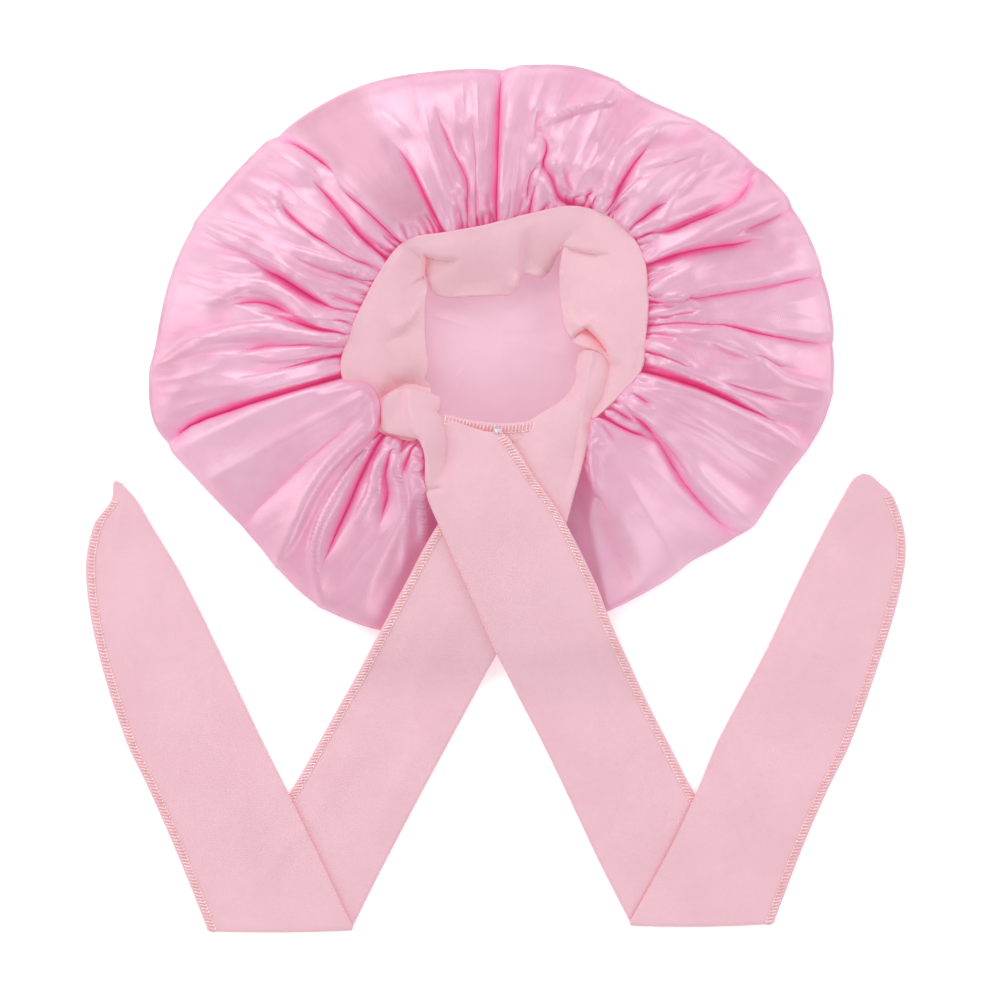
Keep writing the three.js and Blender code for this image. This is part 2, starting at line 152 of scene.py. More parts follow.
def addWall(name, middle, wall, uv):
    # a sheet with a wall: its upper and lower face stand off the middle by half the wall, and a rounded edge
    # goes round between them
    rows, columns = middle.shape[:2]
    n = normals(middle) * wall / 2
    number = np.arange(rows * columns).reshape(rows, columns)
    quads = np.stack([number[:-1, :-1], number[1:, :-1], number[1:, 1:], number[:-1, 1:]], -1).reshape(-1, 4)
    i = np.concatenate([np.arange(rows - 1), np.full(columns - 1, rows - 1), np.arange(rows - 1, 0, -1),
                        np.zeros(columns - 1, int)])
    j = np.concatenate([np.zeros(rows - 1, int), np.arange(columns - 1), np.full(rows - 1, columns - 1),
                        np.arange(columns - 1, 0, -1)])
    outward = unit(middle[i, j] - middle[np.clip(i, 1, rows - 2), np.clip(j, 1, columns - 2)])
    edge = middle[i, j] + outward * wall / 2
    top, low, rim = number[i, j], number[i, j] + rows * columns, 2 * rows * columns + np.arange(len(i))
    sides = [np.stack([a, np.roll(a, -1), np.roll(b, -1), b], -1) for a, b in ((rim, top), (low, rim))]
    points = np.concatenate([(middle + n).reshape(-1, 3), (middle - n).reshape(-1, 3), edge])
    faces = np.concatenate([quads, quads[:, ::-1] + rows * columns] + sides)
    flat = uv.reshape(-1, 2)
    return addMesh(name, points, faces.tolist(), np.concatenate([flat, flat, flat[number[i, j]]]))


crown = {
    "outline": [  # angle, rolled rim, gathered seam, how far the satin puffs up between them
        (0, 182.6, 79, 1.05), (15, 178.4, 83, 1), (30, 170.6, 88, 1), (44, 159.8, 86, 1), (57, 151.4, 79, 1),
        (72, 151.4, 66, .95), (88, 144, 58, .9), (102, 145.4, 56, .85), (118, 152.2, 59, .85),
        (134, 158, 67, .9), (150, 166, 68, 1), (165, 175.4, 70, 1), (180, 182, 76, 1.05), (194, 190, 83, 1.1),
        (208, 176, 81, 1.1), (221, 170.4, 79, 1), (234, 174, 70, 1), (241, 173.4, 67, .95),
        (247, 171.6, 64, .65),
        (258, 166, 62, .45), (272, 163, 61, .45), (286, 160.6, 63, .45), (293, 160.2, 64, .48),
        (299, 160.4, 65, .6), (305, 160.8, 66, .85), (311, 161.4, 67, 1), (322, 172, 69, 1.1),
        (334, 174, 73, 1.1), (346, 183.4, 79, 1.1)],
    # share of the way to the rim, and of the height between the rolled rim and the seam
    "dome": [(0, 1), (.12, 1.17), (.35, 1.15), (.6, .86), (.8, .57), (.9, .37), (.95, .24),
             (.985, .1), (1, 0)],
    # angle, and how much of the small folds that stretch has: the smooth panels have few
    "liveliness": [(0, 1), (60, 1), (108, .8), (119, .15), (133, .15), (141, 1), (192, 1), (199, .12),
                   (213, .12), (222, .15), (245, .15), (300, .2), (322, .3), (345, .8)],
    # angle, satin that lies over the band
    "lap": [(190, 0), (197, 1), (202, 9), (211, 8.5), (218, 3), (224, 0)],
    "lapLift": 4, "lapCalm": .85,  # it lies higher and has few small folds
    # where it is matt, the material also darkens the satin's colour: painted shade on a sector that faces the
    # far softbox
    "matt": [(117.5, 0), (121, 1), (132, 1), (135.5, 0)],  # angle, how matt the satin looks
    "seamHeight": 24, "pressedDrop": 12,  # the second where the ties press the seam down
    "least": 5, "rimLeast": 3, "softness": 1.2,  # least height at the seam and the rim, how softly it holds
    "rimRound": 2, "rollFrom": -78, "rollTo": 28, "rollRings": 7,  # the rolled rim, degrees round its section
    "rimFolds": .75,  # share of a fold's rise that is left at the rim
    "rimKinks": .18, "kinkLimits": (-1.4, .7), "rimOut": .2,  # how folds push the rim in and out
    "lean": 2.3, "leanLimit": 1.5,  # how far slopes lean out over the valleys, in mm for each unit of slope
    "leastStep": .22,  # share of their distance that neighbours keep
    "lipIn": .6, "lipDrop": 1.4, "tuckOut": .8, "tuck": 3.5,  # the edge that is turned in at the seam
    "sheetWidth": 100, "wall": 1.2, "liningGap": .8, "liningLeast": 3,
    "sides": 1000, "sheetRings": 56, "ringPower": 1.35, "innerRings": 14, "floorRings": 14,
    # small folds: how many, rise, length as a share of the sheet, half width, how far they stray in degrees
    "gathers": {"count": 124, "rise": 3.2, "length": (.06, .26), "wide": (1, 2), "stray": 1.5},
    "crumples": {"count": 150, "rise": .9, "length": (.12, .4), "wide": (1.6, 4.5), "stray": 4},
    # ruffles: least and most turns round the crown, waves along the sheet, rise
    "ruffles": [(7, 20, 1.1, 1.5), (20, 48, 1.6, .45)], "ruffleWaves": 7, "ruffleSpread": 1.6,
    "hillRise": .25, "hillSize": 17,
    # how far below its ring a point counts as deep in a fold, the ring's stretch in sides, the curve's power;
    # then the share of the sheet next to the seam that gets painted shade, and how strong that painted shade
    # is
    "depthFull": 5.5, "depthReach": 11, "depthPower": 1.2, "seamShadeReach": .05, "seamShade": .2,
    "creasesLeast": .3,  # share of the fine creases that the smooth panels keep
    # reverse of the floor sheet: its mean and least height, hills as rise, size and seed, and creases, in mm
    # on the drawing: from, to, bow, rise, half width, skew, soft at both ends
    "floorHeight": 1.8, "floorLeast": .6, "floorHills": [(.9, 52, 21), (.15, 15, 22)], "floorCreaseRise": 3.4,
    "floorCreases": [
        (-31, 97, -16, 97, 0, .9, 2, 0, 1), (-13, 103, -12, 86, 1, .6, 1.6, .3, 1),
        (-27, 80, -22, 54, 2, .7, 2.4, -.3, 1), (-6, 74, 16, 68, 1, .6, 2, .3, 1),
        (10, 104, 20, 90, 1, .6, 2, 0, 1), (-30, 66, 4, 64, 2, .4, 2.6, 0, 1),
        (22, 102, 29, 74, 2, .6, 2.2, .3, 1), (-33, 106, -5, 108, -1, -.7, 2.5, 0, 1)],
}

# Main folds of the satin. Each row: the points it passes, as (angle, share of the way from seam to rim),
# then its rise, half width and skew, which makes the anticlockwise side steeper, or the other one if it is
# negative. A row with 0 gets a skew to a random side
satinFolds = [
    ([(3.2, 0), (3, .15), (2.8, .3), (.5, .6), (-1.5, .95)], -6, 4, 0),
    ([(2.4, .05), (2.4, .35), (-4, .65), (-9, .85)], 3.5, 5, 0),
    ([(6, .08), (6.5, .32)], -4, 5, 0),
    ([(12.5, .05), (10, .25), (3.5, .33)], 3, 3, 0),
    ([(12, 0), (10.5, .2), (10.5, 1)], -5, 4, 0),
    ([(15, 0), (17, .2), (19, .42)], 3.5, 6, 0),
    ([(24.8, 0), (23.1, .3), (20.7, .6), (19.4, .8)], -9, 4, .2),
    ([(25.6, 0), (25.4, 1)], 5, 5, -.3),
    ([(23.1, .62), (23.1, .97)], -4, 3, 0),
    ([(36, .05), (30.5, .2), (28.9, .4), (27.9, .7), (30.6, .9), (33, 1)], -7, 6, 0),
    ([(36.7, 0), (33.3, .3), (30.6, .75)], 4, 3.5, -.3),
    ([(37.5, .06), (37.5, .38)], -4, 3, 0),
    ([(40, 0), (41.5, .5), (41, .95)], 5, 9, 0),
    ([(46.4, .02), (46.2, .35), (44.2, .46)], -4, 2.5, 0),
    ([(47, 0), (46.9, .35)], 2.5, 2, 0),
    ([(47.6, .05), (50.3, .3), (51.3, .7), (52.3, .85)], -8, 6, .2),
    ([(49.6, 0), (54.3, .4), (54, .7), (51, .9), (47, 1)], 4, 4, 0),
    ([(47.6, .47), (44, .7), (40, .92)], 3.5, 4, 0),
    ([(52, .03), (55, .1), (54.5, .17)], -2.5, 1.8, 0),
    ([(56.5, .02), (57.5, .12)], 2.5, 2, 0),
    ([(57.7, .02), (64.5, .1), (70, .25), (74, .34), (74.7, .45), (77.8, .6)], -9, 3.6, .3),
    ([(60, .08), (66, .2), (72.7, .42)], 4, 3, 0),
    ([(61.8, .12), (68.6, .34)], -4, 6, 0),
    ([(74, 0), (74, .22)], -4, 2, 0),
    ([(76.8, .1), (76.8, .38)], -4, 3, 0),
    ([(79, .5), (79.5, .72)], -4, 6, 0),
    ([(77.8, .58), (71, .72), (64.5, .85), (64, 1)], 4, 4, 0),
    ([(86.6, 0), (86.6, .3), (84.6, 1)], 5, 4.5, .45),
    ([(88.5, 0), (88.5, .3), (88.4, 1)], -8, 3.4, 0),
    ([(100.3, 0), (97.3, .3), (96.2, .7)], -5, 4, .2),
    ([(104.4, 0), (101.7, .18), (100.3, .32), (102.4, .5), (105, .78)], -5, 3.5, 0),
    ([(103, .2), (108, .3)], 2, 4, 0),
    ([(116.6, 0), (116, .47), (118.7, .65)], -7, 3.5, 0),
    ([(114.4, 0), (114.4, .65)], 4, 3.5, .4),
    ([(113.5, .62), (118.5, .9)], 2.4, 5, -.4),
    ([(134.3, 0), (134.3, .7)], 5, 8, .75),
    ([(136.2, .04), (136.4, .55)], -4, 2.4, 0),
    ([(134.7, .6), (136, .8), (137.3, 1)], -8, 4, .3),
    ([(139.4, .6), (139.8, .97)], 4, 5, -.5),
    ([(146, 0), (144.8, .22), (143, .35), (140.4, .6), (139, .75)], -7, 4.5, .3),
    ([(148, 0), (146.8, .3), (143.6, .66)], 4, 3, -.3),
    ([(154, .28), (152.6, .6), (149.9, .7), (144.5, .82)], 3.5, 3, 0),
    ([(152.5, .3), (150, .6), (148.5, .76)], -5, 7, 0),
    ([(153.3, .08), (153.3, .32)], -4, 2.5, 0),
    ([(155, .03), (157.6, .34), (158.4, .56)], 4, 3, 0),
    ([(169.6, .14), (164.3, .38), (162.4, .48), (160.4, .66), (159.1, 1)], 5.5, 5, .5),
    ([(171, .12), (169.4, .24), (166.4, .39), (165.2, .47), (163.2, .66)], -9, 4, -.2),
    ([(174, .34), (173, .5), (174, .68)], -5, 4, 0),
    ([(179.5, 0), (177.1, .17), (169.6, .42), (168.4, .57), (171.7, .7), (176.4, .86)], 5, 4.5, 0),
    ([(180.4, .08), (178.8, .2), (177, .34), (175, .5)], -7, 4, 0),
    ([(181.6, .03), (180.2, .3), (179.4, .5), (182.1, .84), (185.4, 1)], 5, 5, -.3),
    ([(184, .1), (183.8, .6)], -3.5, 4, 0),
    ([(186, .04), (185.4, .55)], 2.5, 3, 0),
    ([(188.5, .04), (190, .3), (190, .58)], -4, 5, 0),
    ([(193.6, .02), (194, .62)], 3.5, 4, .3),
    ([(195.8, 0), (196, .3), (196.2, .6), (196.8, .85), (198.4, 1)], -10, 3.2, 0),
    ([(198, 0), (198.2, .5), (199.8, .92)], 4, 7, -.7),
    ([(206, 0), (207, .95)], 4, 18, 0),
    ([(213, .15), (217, .97)], -3, 8, 0),
    ([(215.8, 0), (218, .37), (220.8, .6), (223, .73), (226.4, 1)], 4.5, 4.5, .4),
    ([(221.8, 0), (224.9, .19), (227.3, .34), (229.8, .5), (232, .7), (233.6, .9)], -9, 4.6, .2),
    ([(221.5, .02), (224.8, .4), (229.2, .75), (237, 1)], 4, 3.5, 0),
    ([(224.3, 0), (229.2, .22), (233, .37), (234.2, .58)], 4, 3, 0),
    ([(228.7, .06), (232.5, .24), (237, .34), (239.6, .52)], -7, 4, 0),
    ([(227, .02), (234, .2), (239.6, .28), (245, .47), (249, .72)], 4.5, 4, .3),
    ([(236, .02), (239.6, .14), (244.3, .27), (248, .4), (250.6, .5), (253.6, .7)], 5, 3.4, .5),
    ([(243, .06), (249, .27), (252.4, .41), (254.5, .5), (257, .66)], -12, 4.4, -.5),
    ([(302, .06), (302, .54)], -7, 11, 0),
    ([(319, 0), (309, .2), (304, .35), (298, .5), (293, .94)], 5, 6, -.3),
    ([(312, .26), (308, .97)], 5, 15, 0),
    ([(327.6, .28), (323.5, .49), (321.5, .69), (320, .97)], -6, 7, 0),
    ([(330.4, .12), (328, .39), (325, .6)], -8, 4, .2),
    ([(321, .02), (325.5, .34)], -6, 5, 0),
    ([(325.3, .04), (327, .26)], 3, 3, 0),
    ([(335, .04), (330.8, .22), (327.4, .47), (325, .65), (323.4, .97)], 5, 5, -.4),
    ([(343.2, .02), (342.8, .4), (341.2, .7), (339.6, .97)], 4, 5, .5),
    ([(339, .1), (333, .94)], 4, 13, 0),
    ([(345.7, 0), (345, .32), (343.5, .54), (341.9, .78)], -8, 3.2, 0),
    ([(351.4, .02), (348.3, .26), (346.8, .4), (344.8, .6), (342.3, .82)], 4.5, 3.5, 0),
    ([(347.9, .4), (347.4, .84)], -4, 4, 0),
    ([(352.8, 0), (352.5, .14)], -3, 2, 0),
    ([(355.4, 0), (353.4, .15), (349.3, .32)], 3.5, 3, 0),
    ([(359, .34), (353.9, .64), (350.9, .75), (350.3, .98)], 4, 4, 0),
    ([(357, .38), (352.6, .84)], -4, 5, 0),
]

pickSide = np.random.default_rng(7)
satinFolds = [(points, rise, wide, skew or pickSide.choice([-.45, .45]))
              for points, rise, wide, skew in satinFolds]
fromSeam, toRim = .04, .94  # a fold that begins before the first or ends past the second doesn't fade there

outlineColumns = np.array(crown["outline"]).T
rimAt, seamAt, puffAt = (tableCurve(outlineColumns[0], column, 360) for column in outlineColumns[1:])
domeAt = tableCurve(*np.array(crown["dome"]).T)
livelinessAt = tableCurve(*np.array(crown["liveliness"]).T, 360)
lapAt, mattAt = (tableCurve(*np.array(crown[name]).T) for name in ("lap", "matt"))

# The drawing's place in the frame: the crown's left and far ends on the drawing lie on those of the frame
crownLeft, crownFar = -186.7, 235.2
crownLow, crownHigh = (np.array(corner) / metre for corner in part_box("crown"))
drawingShift = np.array([crownLow[0] - crownLeft, crownHigh[1] - crownFar, 0])


def polar(deg, radius):
    angle = np.radians(deg)
    return crownCentre[0] + radius * np.cos(angle), crownCentre[1] + radius * np.sin(angle)


def ringPoints(deg, radius, height):
    return np.stack(np.broadcast_arrays(*polar(deg, radius), height), -1)


def foldHeight(folds, deg, along, radius):
    # the sum of all folds at angles and shares along the sheet: a fold's middle is a smooth curve through its
    # points, and the distance to it is the arc to that middle, shortened where the fold runs aslant; from its
    # first point to its last it widens from .6 to 1.2 of its half width
    total = np.zeros(deg.shape)
    step = .01
    for points, rise, wide, skew in folds:
        at = np.array(points)
        middle = tableCurve(at[:, 1], at[:, 0])
        begin, end = at[0, 1], at[-1, 1]
        t = (along - begin) / (end - begin)
        turn = np.radians(middle(along + step) - middle(along - step)) / (2 * step)
        slant = turn * radius / crown["sheetWidth"]
        arc = np.radians((deg - middle(along) + 180) % 360 - 180) * radius / np.hypot(1, slant)
        start = 1 if begin <= fromSeam else smoothStep(t, -.1, .3)
        fade = start * (1 if end >= toRim else 1 - smoothStep(t, .62, 1.06))
        total += rise * foldProfile(arc, wide * (.6 + .6 * np.clip(t, 0, 1)), skew) * fade
    return total


def smallFolds():
    # short gathers all round the seam, then crumples of every length between the main folds
    pick = np.random.default_rng(11)
    gathers, crumples = crown["gathers"], crown["crumples"]
    rows = []
    for number in range(gathers["count"]):
        deg = (number + pick.uniform(-.3, .3)) * (360 / gathers["count"])
        end = pick.uniform(*gathers["length"])
        rise = -gathers["rise"] * pick.uniform(.5, 1.3)
        last = deg + pick.normal(0, gathers["stray"])
        rows.append(([(deg, 0), (last, end)], rise, pick.uniform(*gathers["wide"]), 0))
    for _ in range(crumples["count"]):
        deg = pick.uniform(0, 360)
        begin = pick.uniform(.05, .8)
        end = min(begin + pick.uniform(*crumples["length"]), 1)
        rise = crumples["rise"] * pick.choice([-1, 1]) * pick.uniform(.3, 1)
        last = deg + pick.normal(0, crumples["stray"])
        wide = pick.uniform(*crumples["wide"])
        rows.append(([(deg, begin), (last, end)], rise, wide, pick.uniform(-.5, .5)))
    return rows


def ruffles(deg, along):
    # random creases: 1 - |w|, with w a sum of waves that go round the crown a whole number of times
    pick = np.random.default_rng(17)
    total = np.zeros(deg.shape)
    for least, most, waves, rise in crown["ruffles"]:
        w = np.zeros(deg.shape)
        for _ in range(crown["ruffleWaves"]):
            turns = pick.integers(least, most)
            lean = pick.uniform(-waves, waves)
            phase = pick.uniform(0, 2 * np.pi)
            w += np.cos(np.radians(deg) * turns + 2 * np.pi * along * lean + phase)
        total += rise * (1 - np.abs(w) / crown["ruffleSpread"])
    return total * smoothStep(along, .02, .2)


def seamHeightAt(deg):
    # lower where the satin puffs up little, because the ties lie on it
    return crown["seamHeight"] - crown["pressedDrop"] * (1 - smoothStep(puffAt(deg), .45, .85))


def satinHeight(deg, along, radius):
    # upper face of the satin, and its main folds alone. The face is a dome from the rolled rim to the seam,
    # with the main folds as far as it puffs up there and the small ones as far as it is lively there. It stays
    # above a least height m, with h for the height so far and s for the softness, as
    # m + s log(1 + exp((h - m) / s))
    c = crown
    puff = puffAt(deg)
    main = foldHeight(satinFolds, deg, along, radius) * puff
    small = foldHeight(smallFolds(), deg, along, radius)
    small += c["hillRise"] * hills(*polar(deg, radius), c["hillSize"], 5)
    small = (small + ruffles(deg, along)) * mix(1, livelinessAt(deg), smoothStep(along, .1, .3))
    small *= 1 - c["lapCalm"] * smoothStep(lapAt(deg), .5, 6) * (1 - smoothStep(along, .3, .5))
    folds = main + small * smoothStep(puff, .3, .8)
    folds *= np.where(folds > 0, smoothStep(along, -.005, .045), 1)  # no crest pokes over the band's edge
    height = mix(2 * c["rimRound"], seamHeightAt(deg), domeAt(along))
    height += folds * mix(1, c["rimFolds"], smoothStep(along, .7, 1))
    least = mix(c["least"], c["rimLeast"], along)
    return least + np.logaddexp(0, (height - least) / c["softness"]) * c["softness"], main


def leanOut(deg, radius, folds, along):
    # the angles of points that are moved sideways against the slope of the folds, so that crests swell and
    # valleys close to slits; a least distance between neighbours keeps them in order
    c = crown
    step = 360 / c["sides"]
    slope = (np.roll(folds, -1, 0) - np.roll(folds, 1, 0)) / (2 * np.radians(step) * radius)
    slope = np.clip(slope, -c["leanLimit"], c["leanLimit"])
    held = smoothStep(along, 0, .08) * (1 - smoothStep(along, .82, 1))
    moved = deg - np.degrees(c["lean"] * slope * held / radius)
    order = np.arange(c["sides"] * 3)[:, None] * step * c["leastStep"]
    laps = np.concatenate([moved - 360, moved, moved + 360]) - order
    forward = np.maximum.accumulate(laps, 0)
    backward = np.minimum.accumulate(laps[::-1], 0)[::-1]
    return ((forward + backward) / 2 + order)[c["sides"]:2 * c["sides"]]


def foldDepth(height):
    # how deep a point lies in a fold, 0 to 1: its distance below the mean of its ring over a stretch to both
    # sides, as a share of the full depth, to a power. The materials paint shade and glow by it
    reach = crown["depthReach"]
    near = sum(np.roll(height, turn, 0) for turn in range(-reach, reach + 1)) / (2 * reach + 1)
    return np.clip((near - height) / crown["depthFull"], 0, 1) ** crown["depthPower"]


def floorWrinkles(x, y):
    # reverse of the floor sheet, seen through the opening: low hills and a few long soft creases
    height = crown["floorHeight"] + crown["floorCreaseRise"] * creases(x, y, crown["floorCreases"])
    for rise, size, seed in crown["floorHills"]:
        height += rise * hills(x, y, size, seed)
    return np.maximum(height, crown["floorLeast"])


def makeCrown():
    # one closed cloth: out along the table, round the rolled rim, in over the gathered sheet to the seam, and
    # back the same way inside
    c = crown
    deg = np.arange(c["sides"])[:, None] * (360 / c["sides"])
    kinks = foldHeight(satinFolds, deg, np.ones(deg.shape), rimAt(deg)) * c["rimKinks"]
    rollMiddle = rimAt(deg) - c["rimRound"] + np.clip(kinks, *c["kinkLimits"]) + c["rimOut"]

    along = np.linspace(1, 0, c["sheetRings"])[None, :] ** c["ringPower"]
    deg2, along2 = np.broadcast_arrays(deg, along)
    inner = seamAt(deg) - lapAt(deg)
    radius = mix(inner, rollMiddle, along2)
    height, folds = satinHeight(deg2, along2, radius)
    height += c["lapLift"] * smoothStep(lapAt(deg2), 0, 8) * (1 - smoothStep(along2, 0, .3))
    upper = ringPoints(leanOut(deg2, radius, folds, along2), radius, height)
    lip = ringPoints(deg, inner - c["lipIn"], height[:, -1:] - c["lipDrop"])
    tuck = ringPoints(deg, inner + c["tuckOut"], height[:, -1:] - c["tuck"])

    top = height[:, :1]
    turn = np.radians(np.linspace(c["rollFrom"], c["rollTo"], c["rollRings"]))
    roll = ringPoints(deg, rollMiddle + c["rimRound"] * np.cos(turn), top / 2 * (1 + np.sin(turn)))
    under = ringPoints(deg, rollMiddle * np.array([0, .4, .75, .93, .985]), 0)

    # the lining stays under the lowest place of the stretches of sheet on either side of each of its rings
    pick = np.linspace(c["sheetRings"] - 1, 0, c["innerRings"]).astype(int)
    lining = upper[:, pick].copy()
    for k in range(c["innerRings"]):
        stretch = slice(pick[min(k + 1, c["innerRings"] - 1)], pick[max(k - 1, 0)] + 1)
        lining[:, k, 2] = height[:, stretch].min(1) - c["wall"] - c["liningGap"]
    lining[:, 0, 2] = np.minimum(lining[:, 0, 2], tuck[:, 0, 2] - .3)
    lining[..., 2] = np.clip(lining[..., 2], c["liningLeast"], None)
    lining[:, -1, 2] = top[:, 0] * .6
    turn = np.radians([60, 0, -60])
    back = ringPoints(deg, rollMiddle + (c["rimRound"] - c["wall"]) * np.cos(turn),
                      top / 2 * (1 + .15 * np.sin(turn)))
    share = np.concatenate([[.985, .9, .75, .6], np.linspace(.5, 0, c["floorRings"] - 4)])
    x, y = polar(deg, rollMiddle * share)
    floor = np.stack([x, y, floorWrinkles(x, y)], -1)

    grid = np.concatenate([under, roll, upper, lip, tuck, lining, back, floor], 1)
    outside = under.shape[1] + roll.shape[1] + upper.shape[1] + 2

    # the cloth lies flat as a round: past the rim, the distance to its middle grows again
    flatRadius = np.hypot(grid[..., 0] - crownCentre[0], grid[..., 1] - crownCentre[1])
    ring = np.arange(grid.shape[1])
    turnedOver = (ring >= under.shape[1] + 3) & (ring < outside + c["innerRings"] + 1)
    flatRadius = np.where(turnedOver[None, :], 2 * rimAt(deg) - flatRadius, flatRadius)
    uv = np.stack([flatRadius * np.cos(np.radians(deg)), flatRadius * np.sin(np.radians(deg))], -1)

    # the marks that the satin's material reads: fold depth, by which it paints shade and glow, with painted
    # shade by the seam and on the turned-in edge; liveliness of the fine creases; and how matt it is, which
    # dims the gloss and paints shade
    depth, lively, matt = np.zeros((3, *grid.shape[:2]))
    shown = slice(under.shape[1] + roll.shape[1], outside - 2)
    # painted shade close to the seam, none where the satin laps over the band
    paintedSeamShade = c["seamShade"] * (1 - smoothStep(along2, 0, c["seamShadeReach"])) * (1 - smoothStep(lapAt(deg2), 0, 3))
    depth[:, shown] = np.maximum(foldDepth(height), paintedSeamShade)
    # the turned-in lip and tuck at the seam are fully in painted shade
    depth[:, outside - 2:outside] = 1
    lively[:, shown] = mix(c["creasesLeast"], 1, livelinessAt(deg2))
    matt[:, shown] = mattAt(deg2) * smoothStep(along2, .02, .2)

    sides, rings = grid.shape[:2]
    points = np.concatenate([grid[:1, 0], grid[:, 1:-1].reshape(-1, 3), grid[:1, -1]])
    flat = np.concatenate([uv[:1, 0], uv[:, 1:-1].reshape(-1, 2), uv[:1, -1]])
    number = 1 + np.arange(sides * (rings - 2)).reshape(sides, rings - 2)
    after = np.roll(number, -1, 0)
    quads = np.stack([number[:, :-1], after[:, :-1], after[:, 1:], number[:, 1:]], -1)
    first = np.stack([np.zeros(sides, int), after[:, 0], number[:, 0]], -1)
    last = np.stack([number[:, -1], after[:, -1], np.full(sides, len(points) - 1)], -1)
    slots = np.broadcast_to(np.arange(1, rings - 2) >= outside, (sides, rings - 3))
    slots = np.concatenate([slots.ravel(), np.zeros(sides), np.ones(sides)])
    faces = quads.reshape(-1, 4).tolist() + first.tolist() + last.tolist()
    marks = [(label, np.concatenate([[0], values[:, 1:-1].ravel(), [0]]))
             for label, values in (("fold depth", depth), ("liveliness", lively), ("matt", matt))]
    return addMesh("crown_satin", points, faces, flat, slots, marks)


crownPiece = makeCrown()
print("crown made", len(crownPiece.data.polygons))


band = {
    # angle at the seam, then the free edge's place from the crown's centre, its height, and the swell between
    "stations": [
        (-41, 50, -41, 20, 0), (-36, 54, -31, 18, 1), (-28, 56, -19, 16, 1.5), (-20, 57, -13, 15, 2),
        (-13, 52, -10.6, 17, 2.5), (-8, 46.4, -8.6, 18, 2.5), (-3, 41.4, -2.8, 18, 2),
        (4, 37.8, 3.2, 17, 1.5),
        (16, 36, 13.5, 16, 1.2), (27, 35.1, 22.1, 15, 1), (38, 35.1, 34, 15, 1), (47, 36.5, 47, 18, 1),
        (54, 31.6, 40.5, 13, 1), (60, 29.4, 34.5, 11, 1.2), (66, 24.3, 30.6, 10, 1.5),
        (73, 14.6, 33, 10, 1.5),
        (79, 10.6, 22.8, 10, 1.8), (89, .4, 21.5, 9.5, 2), (101, -11.6, 20.8, 9.5, 2),
        (116, -26, 20.4, 9.5, 1.8),
        (126, -33.6, 23.6, 10, 1.2), (132, -36, 32, 11, 1), (138, -37.8, 42.2, 17, 1),
        (143, -36.9, 36, 16.5, 1),
        (148, -38, 31.4, 16, 1), (153, -36.9, 25.6, 15, 1), (158, -37.6, 18.4, 14, 1.2),
        (166, -38, 11, 13.5, 1.5),
        (180, -37.6, -3.6, 13.5, 1.5), (195, -36, -18.6, 13.5, 1.5), (204, -37.6, -24.6, 15, 1.5),
        (212, -35, -28.5, 17, 1.5), (222, -34, -36, 22, 1), (233, -36, -48, 24, 0)],
    "wall": 1.3, "along": 760, "across": 60, "overSatin": 1.2, "seamLift": .9,
    "lateFall": .35, "lateStretch": (.1, 1.12),  # share of the fall that comes late, and over which stretch
    "swellShare": .6, "hillRise": .35, "hillSize": 34,
    "clothRadius": 70,  # turns angles into lengths along the cloth
    # creases, in mm on the drawing: from, to, bow, rise, half width, skew, soft at both ends
    "creases": [
        (-37.4, 130.2, -19, 128, -1, -3.8, 3, .75, 0), (-37.4, 130.4, -39.6, 118, 1, -4, 3, -.7, 0),
        (-39.4, 119, -34.6, 112.6, .6, -3, 2.4, .6, 0), (-40, 104, -54, 88, 1, 1.8, 4, .5, 1),
        (37.2, 135.2, 61.6, 130.4, -1, -3.4, 3.4, .75, 0), (37.4, 135, 35.4, 113, -.6, 2, 3, -.6, 0),
        (30.4, 121, 37, 135, -.6, -4, 2.6, -.6, 0), (24, 118, 30.5, 120.6, 0, -2, 1.8, 0, 1),
        (48.6, 91.6, 61.6, 74.8, 1.5, -8.5, 3.6, .75, 0), (43.6, 83, 61.6, 74.4, 1, 4.4, 3.4, -.5, 0),
        (36.6, 103, 46, 92, -2, 2, 3.4, .4, 1), (40, 112, 36, 90, 1, -1.2, 3, 0, 1),
        (54, 98, 43, 89, 1, 1.8, 4, 0, 1), (48, 104, 60, 82, 0, -1.5, 6, 0, 1),
        (-40, 101, -60, 82, 2, -2.2, 5.5, 0, 1), (-38, 97, -56, 90, -1, 1.6, 6, 0, 1),
        (-64, 51, -47, 62, 1, -5.5, 6, 0, 1), (-50, 62.4, -28, 56.4, .6, -5, 5, 0, 1),
        (10, 112, 13, 121, 0, 2, 2.6, 0, 1), (8, 112, 20, 128, 1, 1.4, 5, 0, 1),
        (14.5, 121.4, 26, 120.4, 0, 1.8, 1.7, 0, 1), (-22, 109, 2, 110, 0, 1.5, 3, 0, 1),
        (66, 96, 60, 64, 3, 1.8, 6, 0, 1), (70, 118, 62, 98, 0, 1.2, 7, 0, 1)],
}


